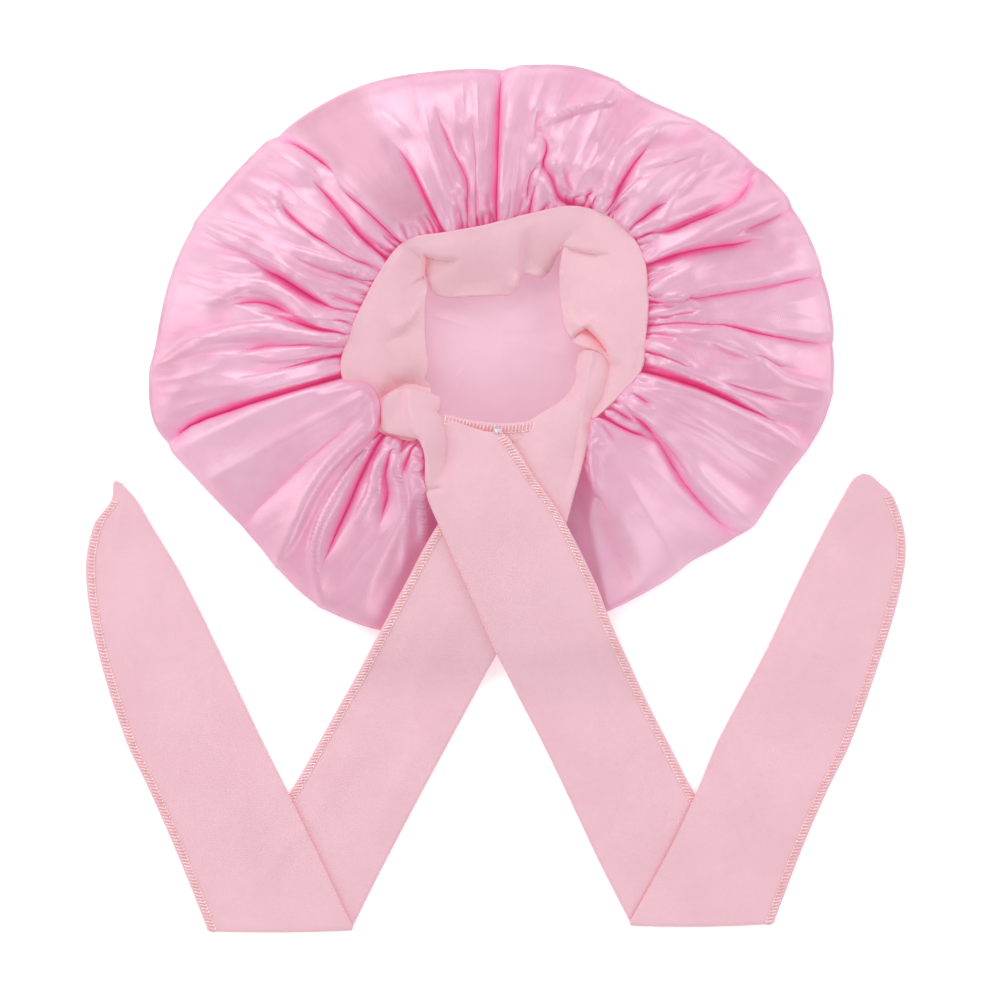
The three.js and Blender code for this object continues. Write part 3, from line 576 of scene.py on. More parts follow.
def bandGrid():
    # from the sewn edge in to the free edge: a straight line in plan between the two, dropping late like
    # cloth that hangs over a rim, with the swell as half a sine wave and the creases on top
    b = band
    rows = np.array(b["stations"], float)
    deg = np.linspace(rows[0, 0], rows[-1, 0], b["along"])[:, None]
    freeX, freeY, freeZ, swell = tableCurve(rows[:, 0], rows[:, 1:])(deg[:, 0]).T[:, :, None]
    t = np.linspace(0, 1, b["across"])
    seamX, seamY = polar(deg, seamAt(deg) + b["overSatin"])
    x = mix(seamX, freeX + crownCentre[0], t)
    y = mix(seamY, freeY + crownCentre[1], t)
    late = smoothStep(t, *b["lateStretch"]) / smoothStep(1, *b["lateStretch"])
    z = mix(seamHeightAt(deg) + b["seamLift"], freeZ, mix(t, late, b["lateFall"]))
    z += b["swellShare"] * swell * np.sin(np.pi * np.minimum(t * 1.25, 1)) * smoothStep(t, 0, .2)
    shape = creases(x, y, b["creases"]) + b["hillRise"] * hills(x, y, b["hillSize"], 31)
    z += shape * smoothStep(t, 0, .25)
    uv = np.stack([np.radians(deg) * b["clothRadius"] + 0 * x, np.hypot(x - seamX, y - seamY)], -1)
    return np.stack([x, y, z], -1), uv


bandMiddle, bandUv = bandGrid()
bandPiece = addWall("band_jersey", bandMiddle, band["wall"], bandUv)
print("band made", len(bandPiece.data.polygons))


ties = {
    "wall": 1.7, "width": 66, "step": 1.3, "across": 44, "foldSteps": 9,
    "hillRise": .18, "hillSize": 38, "foldStart": 205, "foldEnd": 230, "foldPress": .8, "clearance": .05,
    # sections from the band down to the fold: left edge, middle, right edge as (x, y, z) on the drawing
    "over": {
        "run": [
            ((-60.4, 51, 26.4), (-48, 58.4, 24.6), (-29.2, 53.6, 20)),
            ((-60.2, 43, 27), (-46.4, 51, 27.6), (-29.8, 48, 23.8)),
            ((-59, 36.4, 27.4), (-43.6, 44, 29.8), (-30.6, 44.6, 27)),
            ((-48.6, 33.6, 28), (-36.8, 37.6, 31), (-21.6, 40.8, 29.8)),
            ((-41.4, 32.4, 28.5), (-29, 31.4, 31), (-5.4, 35.6, 30.2)),
            ((-37, 23.4, 29.6), (-19, 24, 30.4), (5.4, 33.2, 30.6)),
            ((-36.2, 4, 29), (-9, 9, 30.2), (20.6, 11, 29.6)),
            ((-29.6, -13.2, 27.4), (1, -8, 28.6), (35.6, -10.6, 27)),
            ((-14, -48, 22.2), (20, -46, 22.8), (53.4, -46, 22)),
            ((-6, -66, 18.6), (27, -65, 19), (60.6, -64.6, 18.4)),
            ((0, -80, 14.4), (33, -79, 14.8), (67, -79, 14.4)),
            ((7, -94, 7.8), (40, -93.6, 8), (73.6, -93, 7.8)),
            ((16, -112, 2), (49, -112, 2.2), (82, -111, 2)),
            ((26.5, -132, 1), (59, -132, 1.2), (92.4, -131, 1)),
            ((40, -160, 1), (73, -160, 1.2), (107, -159.4, 1)),
            ((57, -196, 1), (92, -196, 1.2), (128.4, -195, 1)),
            ((73.5, -228.4, 1), (111, -229, 1.2), (150, -227.4, 1))],
        "tail": [
            ((73.5, -228.4, 3.5), (111, -229, 3.6), (150, -227.4, 3.5)),
            ((96, -187, 3.5), (130, -186, 3.6), (165.4, -187, 3.5)),
            ((110, -157, 3.4), (144, -157, 3.4), (178.6, -157, 3.2)),
            ((121.4, -130, 1.4), (156, -130, 1.6), (191.4, -131, 1.2)),
            ((147, -82, 1), (179.6, -81, 1.4), (208.6, -82, 1)),
            ((163, -48, 1), (192, -47, 1.5), (218, -49, 1)),
            ((178, -18, 1), (201, -18, 1.6), (220.8, -22, 1)),
            ((188.6, 1, 1), (201, -1, 1.8), (214.6, 0, 1.2)),
            ((194.6, 11, 1.2), (200, 11, 2), (206, 9.4, 1.4)),
            ((198.6, 13, 1.4), (200.2, 12.8, 2), (202, 12.4, 1.6))],
        "creases": [
            (-46.6, 60, -36.6, 22, -2.8, 4.6, 5, -.75, 0), (-37.4, 34, -35.6, 6, .6, 3, 4.4, -.4, 1),
            (-31, 48, -31.4, 6.6, 5.4, -5.6, 6, -.2, 1), (-56, 38, -51.6, 54, 0, -1.4, 5, .3, 1),
            (-37.6, 4.6, -27, 5.8, .4, -1.8, 1.5, .4, 0), (-36, 2.6, -24, 3, 0, 1, 3, 0, 0),
            (-20, 30, 14, -30, 3, 1.1, 10, 0, 1),
            (-8, 0, 18, -60, -2, 1, 9, 0, 1), (20, -70, 60, -150, 4, .9, 9, 0, 1),
            (60, -118, 92, -186, 2, .9, 7, 0, 1), (140, -120, 178, -50, 3, 1.5, 8, 0, 1),
            (128, -180, 150, -130, 0, 1, 7, 0, 1), (160, -100, 196, -20, -4, 1.2, 6, 0, 1),
            (176, -30, 204, -8, 0, -.9, 5, 0, 1), (96, -212, 132, -196, 0, .9, 9, 0, 1)]},
    "under": {
        "run": [
            ((46.4, 79.4, 15), (54, 77.6, 20.5), (61.6, 74.4, 17)),
            ((43.8, 70, 16), (53.4, 68, 23), (61.2, 66, 18)),
            ((43.6, 62.4, 18.5), (50.4, 58, 25.6), (58.4, 55, 20)),
            ((36.6, 52.6, 22), (44.4, 50.4, 27.4), (52.8, 45.4, 22)),
            ((24, 44.6, 25), (36.6, 40, 27.8), (49.6, 32, 26)),
            ((10.8, 35.4, 26.2), (28, 28, 27.6), (47, 22, 27)),
            ((-9.2, 12.6, 26), (17, 9, 26.6), (42, 4, 26.6)),
            ((-29.7, -13.8, 23.6), (4, -16, 24.2), (35.6, -18, 23.4)),
            ((-49, -49, 18.6), (-14, -50, 19), (19.5, -51, 18.4)),
            ((-58, -66, 15.4), (-25, -66.6, 15.6), (8.4, -68, 15)),
            ((-65.5, -80, 10.4), (-32.6, -80.6, 10.6), (1, -82, 10.2)),
            ((-73, -94, 4), (-39.6, -95, 4), (-6.6, -96, 3.8)),
            ((-81, -108, 1.2), (-47.6, -109, 1.2), (-14, -110, 1)),
            ((-110.5, -160, 1), (-76, -160, 1.2), (-41.6, -161, 1)),
            ((-133, -196, 1), (-97, -197, 1.2), (-61, -198, 1)),
            ((-154.5, -231.4, 1), (-116, -232, 1.2), (-77.5, -231, 1))],
        "tail": [
            ((-154.5, -231.4, 3.5), (-116, -232, 3.6), (-77.5, -231, 3.5)),
            ((-168.6, -196, 3.5), (-131.6, -196, 3.6), (-94.5, -195, 3.5)),
            ((-185.6, -157, 3.2), (-150, -157, 3.4), (-113, -157, 3.4)),
            ((-198.6, -130, 1.2), (-163.6, -130, 1.6), (-126.6, -130, 1.4)),
            ((-213.6, -82, 1), (-181, -82, 1.4), (-149.6, -82, 1)),
            ((-220, -40, 1), (-195.6, -40, 1.5), (-170.6, -40, 1)),
            ((-215.6, -14, 1), (-202, -14, 1.6), (-186.4, -14, 1)),
            ((-206.4, -1, 1.2), (-200.6, -1, 2), (-194, -1, 1.2)),
            ((-205.4, 8.4, 1.8), (-203.8, 8.8, 2.4), (-201.8, 8, 2))],
        "creases": [
            (53, 80, 45, 26, -2, 3.2, 4.4, .5, 0), (47, 66, 37, 0, 2, -3, 5, .5, 1),
            (30, 30, 8, -10, 2, .9, 8, 0, 1), (-20, -50, -48, -110, 3, 1.5, 8, 0, 1),
            (-40, -60, -80, -130, 3, .9, 8, 0, 1), (-70, -120, -120, -200, 4, .9, 8, 0, 1),
            (-30, -120, -70, -190, -3, 1.2, 7, 0, 1), (-130, -190, -170, -100, -4, 1.5, 8, 0, 1),
            (-150, -110, -196, -30, 4, 1.2, 7, 0, 1), (-176, -150, -204, -60, 3, 1, 6, 0, 1),
            (-130, -216, -108, -180, 0, 1.2, 6, 0, 1), (-206, -30, -200, 2, 0, .8, 4, 0, 1)]},
}


def tieStrip(rows):
    # smooth curves through the left, middle and right points, by the length along the middle, and a parabola
    # across through the three
    rows = np.array(rows, float)
    length = distanceGone(rows[:, 1])
    along = np.linspace(0, length[-1], int(length[-1] / ties["step"]))
    left, middle, right = (tableCurve(length, rows[:, k])(along)[:, None] for k in range(3))
    t = np.linspace(0, 1, ties["across"])[:, None]
    return left * (2 * t - 1) * (t - 1) + middle * 4 * t * (1 - t) + right * t * (2 * t - 1), along


def tieGrid(tie):
    # run, half turn at the fold and tail as one grid; the fold is half a circle between the two runs, and the
    # creases are pressed flat beside it
    run, runLength = tieStrip(tie["run"])
    tail, tailLength = tieStrip(tie["tail"])
    before, after = run[-1], tail[0]
    gap = (after[:, 2] - before[:, 2]) / 2
    share = np.arange(1, ties["foldSteps"])[:, None] / ties["foldSteps"]
    fold = np.stack([mix(before[:, 0], after[:, 0], share),
                     mix(before[:, 1], after[:, 1], share) - gap * np.sin(np.pi * share),
                     before[:, 2] + gap * (1 - np.cos(np.pi * share))], -1)
    grid = np.concatenate([run, fold, tail])
    turn = np.linspace(0, np.pi * gap.mean(), ties["foldSteps"] + 1)[1:-1] + runLength[-1]
    along = np.concatenate([runLength, turn, turn[-1] + 1 + tailLength])[:, None]
    x, y = grid[..., 0], grid[..., 1]
    shape = creases(x, y, tie["creases"]) + ties["hillRise"] * (hills(x, y, ties["hillSize"], 41) + 1)
    shape *= 1 - ties["foldPress"] * smoothStep(-y, ties["foldStart"], ties["foldEnd"])
    grid[..., 2] = np.maximum(grid[..., 2] + shape, ties["wall"] / 2 + ties["clearance"])
    across = np.linspace(-.5, .5, ties["across"]) * ties["width"]
    return grid, np.stack(np.broadcast_arrays(across, along), -1)


tieGrids = {name: tieGrid(ties[name]) for name in ("over", "under")}
tiePieces = {name: addWall("tie_" + name + "_jersey", grid, ties["wall"], uv)
             for name, (grid, uv) in tieGrids.items()}
print("ties made", [len(piece.data.polygons) for piece in tiePieces.values()])


overlock = {
    "pitch": 1.9, "width": 3.9, "drop": .9,
    "thread": .42, "sides": 5, "steps": 5, "endAngle": .35, "endPower": .35, "tip": .7,
    "jitter": .12, "slant": .8, "slantJitter": .15, "loopLift": .14, "loopRise": .25,
    "needleLength": 1.3, "needleLift": .1, "needleRise": .22,
}


def addThreads(name, paths, radius):
    # many short threads in one mesh: a ring of points round each step of each path, closed to a point at its
    # two ends; paths is stitches x steps x 3
    o = overlock
    count, steps = paths.shape[:2]
    heading = unit(np.gradient(paths, axis=1))
    side = unit(np.cross(heading, [.03, .02, 1.0]))
    up = np.cross(side, heading)
    thick = radius * np.sin(np.linspace(o["endAngle"], np.pi - o["endAngle"], steps)) ** o["endPower"]
    angle = np.linspace(0, 2 * np.pi, o["sides"], endpoint=False)[:, None]
    ring = side[:, :, None] * np.cos(angle) + up[:, :, None] * np.sin(angle)
    body = paths[:, :, None] + ring * thick[:, None, None]
    tip = heading * radius * o["tip"]
    tips = np.stack([paths[:, 0] - tip[:, 0], paths[:, -1] + tip[:, -1]], 1)
    each = steps * o["sides"] + 2
    points = np.concatenate([body.reshape(count, -1, 3), tips], 1).reshape(-1, 3)
    number = np.arange(steps * o["sides"]).reshape(steps, o["sides"])
    after = np.roll(number, -1, 1)
    quads = np.stack([number[:-1], number[1:], after[1:], after[:-1]], -1).reshape(-1, 4)
    first = np.stack([number[0], after[0], np.full(o["sides"], each - 2)], -1)
    last = np.stack([after[-1], number[-1], np.full(o["sides"], each - 1)], -1)
    start = (np.arange(count) * each)[:, None, None]
    faces = sum(((part + start).reshape(-1, part.shape[1]).tolist() for part in (quads, first, last)), [])
    return addMesh(name, points, faces, points[:, :2])


def overlockPaths(edge, inner, up, seed):
    # stitches along an edge: one thread slants from the needle line out to the edge and round it, the next
    # lies along the needle line
    pick = np.random.default_rng(seed)
    o = overlock
    gone = distanceGone(edge)
    count = int(gone[-1] / o["pitch"]) - 1

    def at(curve, where):
        return np.stack([np.interp(where, gone, curve[:, k]) for k in range(3)], -1)
    start = (np.arange(count) * o["pitch"] + pick.uniform(-o["jitter"], o["jitter"], count))[:, None]
    t = np.linspace(0, 1, o["steps"])
    place = start + .25 + t * (o["slant"] + pick.uniform(-o["slantJitter"], o["slantJitter"], (count, 1)))
    lift = (np.sin(np.pi * t ** .7) * o["loopRise"] + o["loopLift"])[:, None] * at(up, place)
    reach = .04 + smoothStep(t, -.2, 1.2)[:, None] * .98
    loops = mix(at(inner, place), at(edge, place), reach) + lift
    loops[:, -1] -= at(up, place)[:, -1] * o["drop"] * .5
    place = start + t * o["needleLength"]
    lift = (o["needleLift"] + o["needleRise"] * np.sin(np.pi * t))[:, None] * at(up, place)
    line = mix(at(inner, place), at(edge, place), .02) + lift
    return np.concatenate([loops, line])


def tieOverlock(name, side, start, seed):
    # along one long edge of a tie from a start row to near its end, on the face that lies up
    grid = tieGrids[name][0]
    n = normals(grid)
    if side == "right":
        grid, n = grid[:, ::-1], n[:, ::-1]
    step = np.linalg.norm(grid[:, 1] - grid[:, 0], axis=1)
    into = np.clip(overlock["width"] / np.maximum(step, 1e-3), 0, grid.shape[1] / 2 - 1)
    low, rows = into.astype(int), np.arange(len(grid))
    inner = mix(grid[rows, low], grid[rows, low + 1], (into - low)[:, None])
    up = np.where(n[:, 0, 2:3] < 0, -1, 1) * n[:, 0]
    lift = up * ties["wall"] / 2
    keep = slice(start, -6)
    paths = overlockPaths((grid[:, 0] + lift)[keep], (inner + lift)[keep], up[keep], seed)
    return addThreads("overlock_" + name, paths, overlock["thread"])


overlockPieces = {"over": tieOverlock("over", "right", 36, 51), "under": tieOverlock("under", "left", 44, 52)}
print("overlock made", [len(piece.data.polygons) for piece in overlockPieces.values()])


join = {
    # the overlocked join of the band's ends, which peeps out above the crossing: its upper edge
    "edge": [(-27, 44.4, 27.6), (-14, 41.6, 28), (-2, 39.9, 28.4), (9, 39.8, 28.4), (19.4, 41, 27),
             (27, 43.4, 25)],
    "depth": 9, "sink": .6, "wall": 1.2, "along": 60, "across": 9,
    "stitchWidth": 4.6, "thread": .36,
    "tack": (1.6, 36, 32), "tackSize": 2.5, "tackRise": .9,
    "tackThreads": 9, "tackThread": .45, "tackSteps": 7,
}


def joinGrid():
    # a ribbon hanging from its upper edge towards the crossing
    rows = np.array(join["edge"], float)
    length = distanceGone(rows)
    along = np.linspace(0, length[-1], join["along"])[:, None]
    t = np.linspace(0, 1, join["across"])
    grid = tableCurve(length, rows)(along) - t[:, None] * np.array([0, join["depth"], join["sink"]])
    return grid, np.stack(np.broadcast_arrays(along, join["depth"] * t), -1)


joinMiddle, joinUv = joinGrid()
joinPiece = addWall("join_jersey", joinMiddle[::-1], join["wall"], joinUv[::-1])
joinUp = np.broadcast_to([0, 0, 1.0], joinMiddle[:, 0].shape)
joinOuter = joinMiddle[:, 0] + joinUp * join["wall"] / 2
joinInner = joinOuter - [0, join["stitchWidth"], 0]
joinStitches = addThreads("overlock_join", overlockPaths(joinOuter, joinInner, joinUp, 53), join["thread"])


def tackPaths():
    # a little knot of clear thread: arcs in random directions through one place, flatter from front to back
    pick = np.random.default_rng(61)
    heading = pick.uniform(0, np.pi, (join["tackThreads"], 1))
    t = np.linspace(-1, 1, join["tackSteps"])
    reach = join["tackSize"] * pick.uniform(.6, 1, (join["tackThreads"], 1))
    arc = [reach * t * np.cos(heading), .6 * reach * t * np.sin(heading), join["tackRise"] * (1 - t * t)]
    return np.stack(np.broadcast_arrays(*arc), -1) + join["tack"]


tackPiece = addThreads("tack", tackPaths(), join["tackThread"])
print("join made")


def newGroup(name, values, outcome):
    # a shader node group with named sockets: a vector and numbers with their first values in, one number out
    group = bpy.data.node_groups.new(name, "ShaderNodeTree")
    group.interface.new_socket(name="Vector", in_out="INPUT", socket_type="NodeSocketVector")
    for label, value in values.items():
        socket = group.interface.new_socket(name=label, in_out="INPUT", socket_type="NodeSocketFloat")
        socket.default_value = value
    group.interface.new_socket(name=outcome, in_out="OUTPUT", socket_type="NodeSocketFloat")
    return group, group.nodes.new("NodeGroupInput").outputs


def addNode(tree, kind, inputs=(), settings=()):
    # a node with its settings and its inputs, each of them a constant or another node's output
    node = tree.nodes.new(kind)
    for name, value in dict(settings).items():
        setattr(node, name, value)
    for name, value in dict(inputs).items():
        if isinstance(value, bpy.types.NodeSocket):
            tree.links.new(value, node.inputs[name])
        else:
            node.inputs[name].default_value = value
    return node


def mathNode(tree, operation, *values):
    return addNode(tree, "ShaderNodeMath", enumerate(values), {"operation": operation}).outputs[0]


def vectorNode(tree, operation, *values):
    return addNode(tree, "ShaderNodeVectorMath", enumerate(values), {"operation": operation}).outputs


def noiseNode(tree, vector, scale, detail, roughness, wander=0):
    return addNode(tree, "ShaderNodeTexNoise", {"Vector": vector, "Scale": scale, "Detail": detail,
                                                "Roughness": roughness, "Distortion": wander}).outputs[0]


def rangeNode(tree, value, source, target):
    return addNode(tree, "ShaderNodeMapRange", {"Value": value, "From Min": source[0], "From Max": source[1],
                                                "To Min": target[0], "To Max": target[1]}).outputs[0]


def colourNode(tree, factor, first, second, blend="MIX"):
    return addNode(tree, "ShaderNodeMix", {"Factor": factor, "A": first, "B": second},
                   {"data_type": "RGBA", "blend_type": blend}).outputs["Result"]


def markNode(tree, name):
    return addNode(tree, "ShaderNodeAttribute", settings={"attribute_name": name}).outputs["Fac"]


def makeWeaveGroup():
    # two sets of threads as sine waves across the cloth's own coordinates, the second weaker, roughened by
    # noise
    group, given = newGroup("cloth weave", {"Threads per mm": 3, "Cross share": .5, "Slub": .5}, "Height")
    parts = addNode(group, "ShaderNodeSeparateXYZ", {"Vector": given["Vector"]}).outputs
    turns = mathNode(group, "MULTIPLY", given["Threads per mm"], 2 * np.pi / metre)
    waves = [mathNode(group, "SINE", mathNode(group, "MULTIPLY", parts[axis], turns)) for axis in (0, 1)]
    noise = mathNode(group, "SUBTRACT", noiseNode(group, given["Vector"], 900, 3, .6), .5)
    both = mathNode(group, "ADD", waves[0], mathNode(group, "MULTIPLY", waves[1], given["Cross share"]))
    height = mathNode(group, "ADD", both, mathNode(group, "MULTIPLY", noise, given["Slub"]))
    addNode(group, "NodeGroupOutput", {"Height": height})
    return group


def makeToneGroup():
    # slow clouds that shift the cloth's tone, with a finer mottling on top: 0 to 1
    group, given = newGroup("cloth tone", {"Clouds": 18, "Mottle": 160, "Mottle share": .4}, "Tone")
    clouds, mottle = (noiseNode(group, given["Vector"], given[label], 3, .55)
                      for label in ("Clouds", "Mottle"))
    fine = mathNode(group, "MULTIPLY", mathNode(group, "SUBTRACT", mottle, .5), given["Mottle share"])
    addNode(group, "NodeGroupOutput", {"Tone": mathNode(group, "ADD", clouds, fine)})
    return group


def makeCreaseGroup():
    # fine creases that run out from the crown's middle: noise n over the direction from the middle and the
    # distance to it, folded at its mean to 1 - 4 |n - .5|, so that its mean makes thin crests
    group, given = newGroup("radiating creases", {"Round": 12, "Outward": 20, "Wander": .4}, "Height")
    middle = (*(crownCentre + drawingShift[:2]) * metre, 0)
    away = vectorNode(group, "SUBTRACT", given["Vector"], middle)[0]
    flat = vectorNode(group, "MULTIPLY", away, (1, 1, 0))[0]
    heading = vectorNode(group, "NORMALIZE", flat)[0]
    parts = addNode(group, "ShaderNodeSeparateXYZ", {"Vector": heading}).outputs
    radius = vectorNode(group, "LENGTH", flat)["Value"]
    place = addNode(group, "ShaderNodeCombineXYZ", {
        "X": mathNode(group, "MULTIPLY", parts[0], given["Round"]),
        "Y": mathNode(group, "MULTIPLY", parts[1], given["Round"]),
        "Z": mathNode(group, "MULTIPLY", radius, given["Outward"])}).outputs[0]
    off = mathNode(group, "SUBTRACT", noiseNode(group, place, 1, 1.6, .5, given["Wander"]), .5)
    crest = mathNode(group, "SUBTRACT", 1, mathNode(group, "MULTIPLY", mathNode(group, "ABSOLUTE", off), 4))
    addNode(group, "NodeGroupOutput", {"Height": crest})
    return group


weaveGroup, toneGroup, creaseGroup = makeWeaveGroup(), makeToneGroup(), makeCreaseGroup()

# tones for the two base colours and for the roughness; then the painted shade: the openness (ambient
# occlusion) where it begins and where it is full, the fold depths over which it turns to the deep shade
# colour, and the darker tint painted on the matt sector as shade, with how much gloss that sector loses
shading = {
    "toneRange": (.36, .64),  # tones that are the dark and the light colour
    "roughRange": (.3, .7),  # tones with the least and the most roughness
    "openRange": (.7, .18), "openSamples": 6,  # openness where the fold colour begins and where it is full
    "deepRange": (.45, 1),  # fold depths between which the fold colour turns to the deep one
    "mattShadeTint": (.84, .79, .78), "mattDull": .75,
}


def shadeFolds(tree, look, base, shader):
    # the depth of a fold is the mesh's mark or the lack of openness from ambient occlusion, whichever is more;
    # it paints shade by mixing the base with the fold colour, and that one with the deep shade colour, takes
    # the gloss away and adds to the glow, which is painted light; the matt mark darkens the base as painted
    # shade and dims the gloss
    openness = addNode(tree, "ShaderNodeAmbientOcclusion", {"Distance": look["foldReach"] * metre},
                       {"samples": shading["openSamples"]}).outputs["AO"]
    shade = rangeNode(tree, openness, shading["openRange"], (0, look["shadeShare"]))
    depth = mathNode(tree, "MAXIMUM", markNode(tree, "fold depth"), shade)
    deep = rangeNode(tree, depth, shading["deepRange"], (0, 1))
    paintedFoldColour = colourNode(tree, deep, (*look["fold"], 1), (*look["deep"], 1))
    matt = markNode(tree, "matt")
    mattShadedBase = colourNode(tree, matt, base, (*shading["mattShadeTint"], 1), "MULTIPLY")
    dull = mathNode(tree, "MAXIMUM", depth, mathNode(tree, "MULTIPLY", matt, shading["mattDull"]))
    bright = mathNode(tree, "SUBTRACT", 1, dull)
    links = {"Base Color": colourNode(tree, depth, mattShadedBase, paintedFoldColour),
             "Specular IOR Level": mathNode(tree, "MULTIPLY", bright, look["gloss"]),
             "Emission Color": paintedFoldColour,
             "Emission Strength": mathNode(tree, "MULTIPLY_ADD", depth, look["foldGlow"], look["glow"])}
    for name, source in links.items():
        tree.links.new(source, shader.inputs[name])


def clothMaterial(name, look):
    # tone clouds between two colours, roughness that follows them, the weave as a fine bump, and where the
    # look has them, radiating creases as a second bump and painted shade and glow for the folds and under
    # things
    material = bpy.data.materials.new(name)
    material.use_nodes = True
    tree = material.node_tree
    tree.nodes.clear()
    flat = addNode(tree, "ShaderNodeUVMap", settings={"uv_map": "cloth"}).outputs[0]
    place = addNode(tree, "ShaderNodeTexCoord").outputs["Object"]

    def groupNode(group, vector, values):
        return addNode(tree, "ShaderNodeGroup", {"Vector": vector, **values}, {"node_tree": group}).outputs[0]
    tone = groupNode(toneGroup, place, {"Clouds": look["clouds"], "Mottle": look["mottle"],
                                        "Mottle share": look["mottleShare"]})
    colour = addNode(tree, "ShaderNodeValToRGB", {"Fac": tone})
    tints = (look["dark"], look["light"])
    for stop, at, tint in zip(colour.color_ramp.elements, shading["toneRange"], tints):
        stop.position = at
        stop.color = (*tint, 1)
    weave = groupNode(weaveGroup, flat, {"Threads per mm": look["threads"], "Cross share": look["cross"],
                                         "Slub": look["slub"]})
    bump = addNode(tree, "ShaderNodeBump", {"Height": weave, "Strength": look["bump"],
                                            "Distance": look["bumpDepth"] * metre}).outputs[0]
    if "creaseDepth" in look:
        crest = groupNode(creaseGroup, place, {"Round": look["creaseRound"],
                                               "Outward": look["creaseOutward"]})
        height = mathNode(tree, "MULTIPLY", crest, markNode(tree, "liveliness"))
        bump = addNode(tree, "ShaderNodeBump", {"Height": height, "Normal": bump, "Strength": 1,
                                                "Distance": look["creaseDepth"] * metre}).outputs[0]
    shader = addNode(tree, "ShaderNodeBsdfPrincipled", {
        "Base Color": colour.outputs[0], "Normal": bump,
        "Roughness": rangeNode(tree, tone, shading["roughRange"], look["rough"]), **look["shader"]})
    # painted shade and glow in folds, at the seam and under things
    if "fold" in look:
        shadeFolds(tree, look, colour.outputs[0], shader)
    if "Anisotropic" in look["shader"]:
        tangent = addNode(tree, "ShaderNodeTangent", settings={"direction_type": "UV_MAP", "uv_map": "cloth"})
        tree.links.new(tangent.outputs[0], shader.inputs["Tangent"])
    addNode(tree, "ShaderNodeOutputMaterial", {"Surface": shader.outputs[0]})
    return material


# Colours are linear, lengths in mm. The fold and deep shade colours are painted shade and the glows are
# painted light; a look without a fold colour has neither
looks = {
    # the satin's glow is painted light all over, and its fold glow adds more painted light in the painted
    # shade of the folds
    "satin": {"dark": (.64, .34, .455), "light": (.69, .42, .535), "clouds": 14, "mottle": 120,
              "mottleShare": .3, "rough": (.31, .38), "threads": .95, "cross": .4, "slub": 2,
              "bump": .3, "bumpDepth": .06, "fold": (.80, .19, .42), "foldGlow": .26,
              "foldReach": 14, "shadeShare": .95, "glow": .13, "deep": (.63, .065, .23), "gloss": .8,
              "creaseDepth": .8, "creaseRound": 8, "creaseOutward": 14,
              "shader": {"Metallic": .12, "Anisotropic": .4, "Sheen Weight": .1,
                         "Sheen Roughness": .4, "Sheen Tint": (1, .85, .92, 1)}},
    # the reverse gets most of its brightness from its glow, painted light for light that comes through the
    # cloth; its fold colour is painted shade at contacts
    "reverse": {"dark": (.43, .28, .335), "light": (.46, .31, .365), "clouds": 30, "mottle": 200,
                "mottleShare": .3, "rough": (.6, .75), "threads": 2.6, "cross": .6, "slub": 1,
                "bump": .15, "bumpDepth": .06, "fold": (.86, .49, .615), "foldGlow": -.08,
                "foldReach": 6, "shadeShare": .7, "glow": .5, "deep": (.84, .44, .57), "gloss": .3,
                "shader": {"Sheen Weight": .2, "Sheen Roughness": .5}},
    # the band's and ties' fold colours are painted shade in creases and under the ties, with a little painted
    # glow
    "jersey": {"dark": (.76, .465, .53), "light": (.79, .495, .56), "clouds": 24, "mottle": 260,
               "mottleShare": .35, "rough": (.78, .9), "threads": 1.1, "cross": .7, "slub": 1.6,
               "bump": .25, "bumpDepth": .12, "fold": (.84, .42, .45), "foldGlow": .22,
               "foldReach": 14, "shadeShare": 1, "glow": .03, "deep": (.76, .30, .34), "gloss": .2,
               "shader": {"Sheen Weight": .2, "Sheen Roughness": .5}},
    "thread": {"dark": (.88, .55, .57), "light": (.97, .74, .76), "clouds": 300, "mottle": 900,
               "mottleShare": .4, "rough": (.6, .8), "threads": 4, "cross": .2, "slub": 1,
               "bump": .2, "bumpDepth": .05,
               "shader": {"Specular IOR Level": .3, "Sheen Weight": .2}},
    "clear thread": {"dark": (.6, .66, .74), "light": (.82, .85, .9), "clouds": 400, "mottle": 900,
                     "mottleShare": .4, "rough": (.2, .35), "threads": 4, "cross": .2, "slub": 1,
                     "bump": .1, "bumpDepth": .05, "shader": {"Specular IOR Level": .6}},
}
materials = {name: clothMaterial("bonnet " + name, look) for name, look in looks.items()}

for piece, names in ((crownPiece, ("satin", "reverse")), (bandPiece, ("jersey",)), (joinPiece, ("jersey",)),
                     (tiePieces["over"], ("jersey",)), (tiePieces["under"], ("jersey",)),
                     (overlockPieces["over"], ("thread",)), (overlockPieces["under"], ("thread",)),
                     (joinStitches, ("thread",)), (tackPiece, ("clear thread",))):
    for name in names:
        piece.data.materials.append(materials[name])
print("materials made")


table = {"halfSide": 4, "white": .93, "rough": .8, "glow": .3}  # metres


def makeFloor():
    # a white square of table that lights itself a little, so that it stays white to the picture's edge
    side = table["halfSide"]
    mesh = bpy.data.meshes.new("table_top")
    mesh.from_pydata([(-side, -side, 0), (side, -side, 0), (side, side, 0), (-side, side, 0)], [],
                     [(0, 1, 2, 3)])
    floor = bpy.data.objects.new("table_top", mesh)
    bpy.context.scene.collection.objects.link(floor)
    white = bpy.data.materials.new("table white")
    white.use_nodes = True
    shader = white.node_tree.nodes["Principled BSDF"]
    shader.inputs["Base Color"].default_value = (table["white"],) * 3 + (1,)
    shader.inputs["Roughness"].default_value = table["rough"]
    shader.inputs["Emission Color"].default_value = (1, 1, 1, 1)
    shader.inputs["Emission Strength"].default_value = table["glow"]
    mesh.materials.append(white)
    return floor


floorPiece = makeFloor()

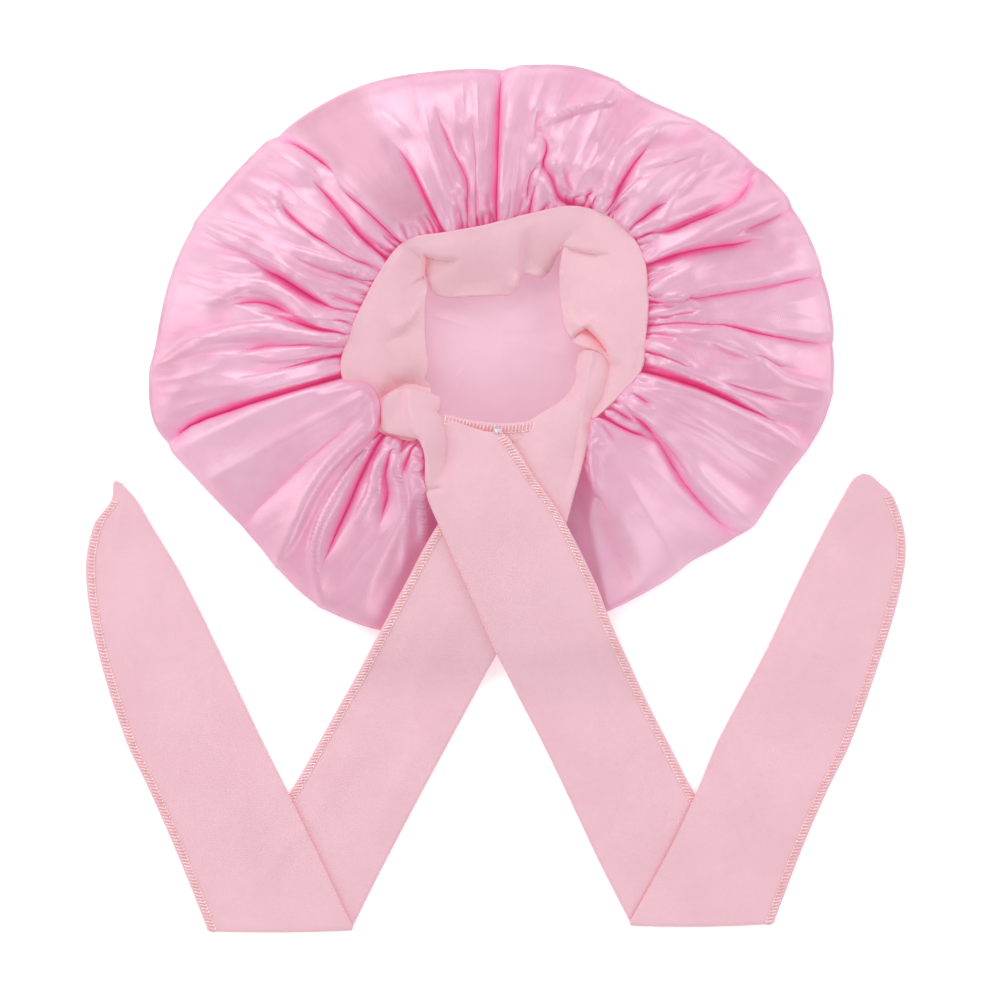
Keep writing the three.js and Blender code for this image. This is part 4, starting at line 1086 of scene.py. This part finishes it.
studio = {
    # the sky's strength at the horizon and overhead, and the rays' slopes between which it changes
    "sky": (.75, .42), "skyRange": (.15, .95),
    # softboxes: place in metres, size, power, all turned to one point
    "aim": (0, .05, 0),
    "lights": [("far_softbox", (-.5, 1.4, 1.1), 1, 13), ("left_softbox", (-1.5, .1, .9), 1, 8),
               ("right_softbox", (1.5, .3, .9), 1, 8), ("near_softbox", (.3, -1.5, 1.3), 1, 8)],
}


def makeStudio():
    # a white sky that is brighter towards the horizon, and softboxes on four sides
    scene = bpy.context.scene
    world = bpy.data.worlds.new("studio")
    world.use_nodes = True
    scene.world = world
    tree = world.node_tree
    direction = addNode(tree, "ShaderNodeTexCoord").outputs["Generated"]
    up = addNode(tree, "ShaderNodeSeparateXYZ", {"Vector": direction}).outputs["Z"]
    background = tree.nodes["Background"]
    background.inputs["Color"].default_value = (1, 1, 1, 1)
    tree.links.new(rangeNode(tree, up, studio["skyRange"], studio["sky"]), background.inputs["Strength"])
    for name, place, size, power in studio["lights"]:
        light = bpy.data.lights.new(name, "AREA")
        light.shape, light.size, light.energy = "SQUARE", size, power
        lamp = bpy.data.objects.new(name, light)
        lamp.location = place
        lamp.rotation_euler = (Vector(place) - Vector(studio["aim"])).to_track_quat("Z", "Y").to_euler()
        scene.collection.objects.link(lamp)


# height, picture width and far end in metres, sensor in mm, the photo's middle in mm on the drawing
view = {"height": 2.2, "width": .54, "far": 20, "sensor": 36, "photoMiddle": (2.7, -.8)}


def makeCamera():
    # straight above, with the picture's width of the table in view
    camera = bpy.data.cameras.new("view")
    camera.sensor_width = view["sensor"]
    camera.lens = view["sensor"] * view["height"] / view["width"]
    camera.clip_end = view["far"]
    rig = bpy.data.objects.new("view", camera)
    x, y = view["photoMiddle"]
    rig.location = ((x + drawingShift[0]) * metre, (y + drawingShift[1]) * metre, view["height"])
    bpy.context.scene.collection.objects.link(rig)
    bpy.context.scene.camera = rig


makeStudio()
makeCamera()
bpy.context.scene.view_settings.view_transform = "Standard"
print("studio made")

for piece, node, slot in ((crownPiece, "crown", "satin"), (bandPiece, "band", "jersey"),
                          (tiePieces["over"], "tie_over", "jersey"),
                          (tiePieces["under"], "tie_under", "jersey")):
    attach(piece, "root")
    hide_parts(node)
for piece in (*overlockPieces.values(), joinPiece, joinStitches, tackPiece):
    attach(piece, "root")
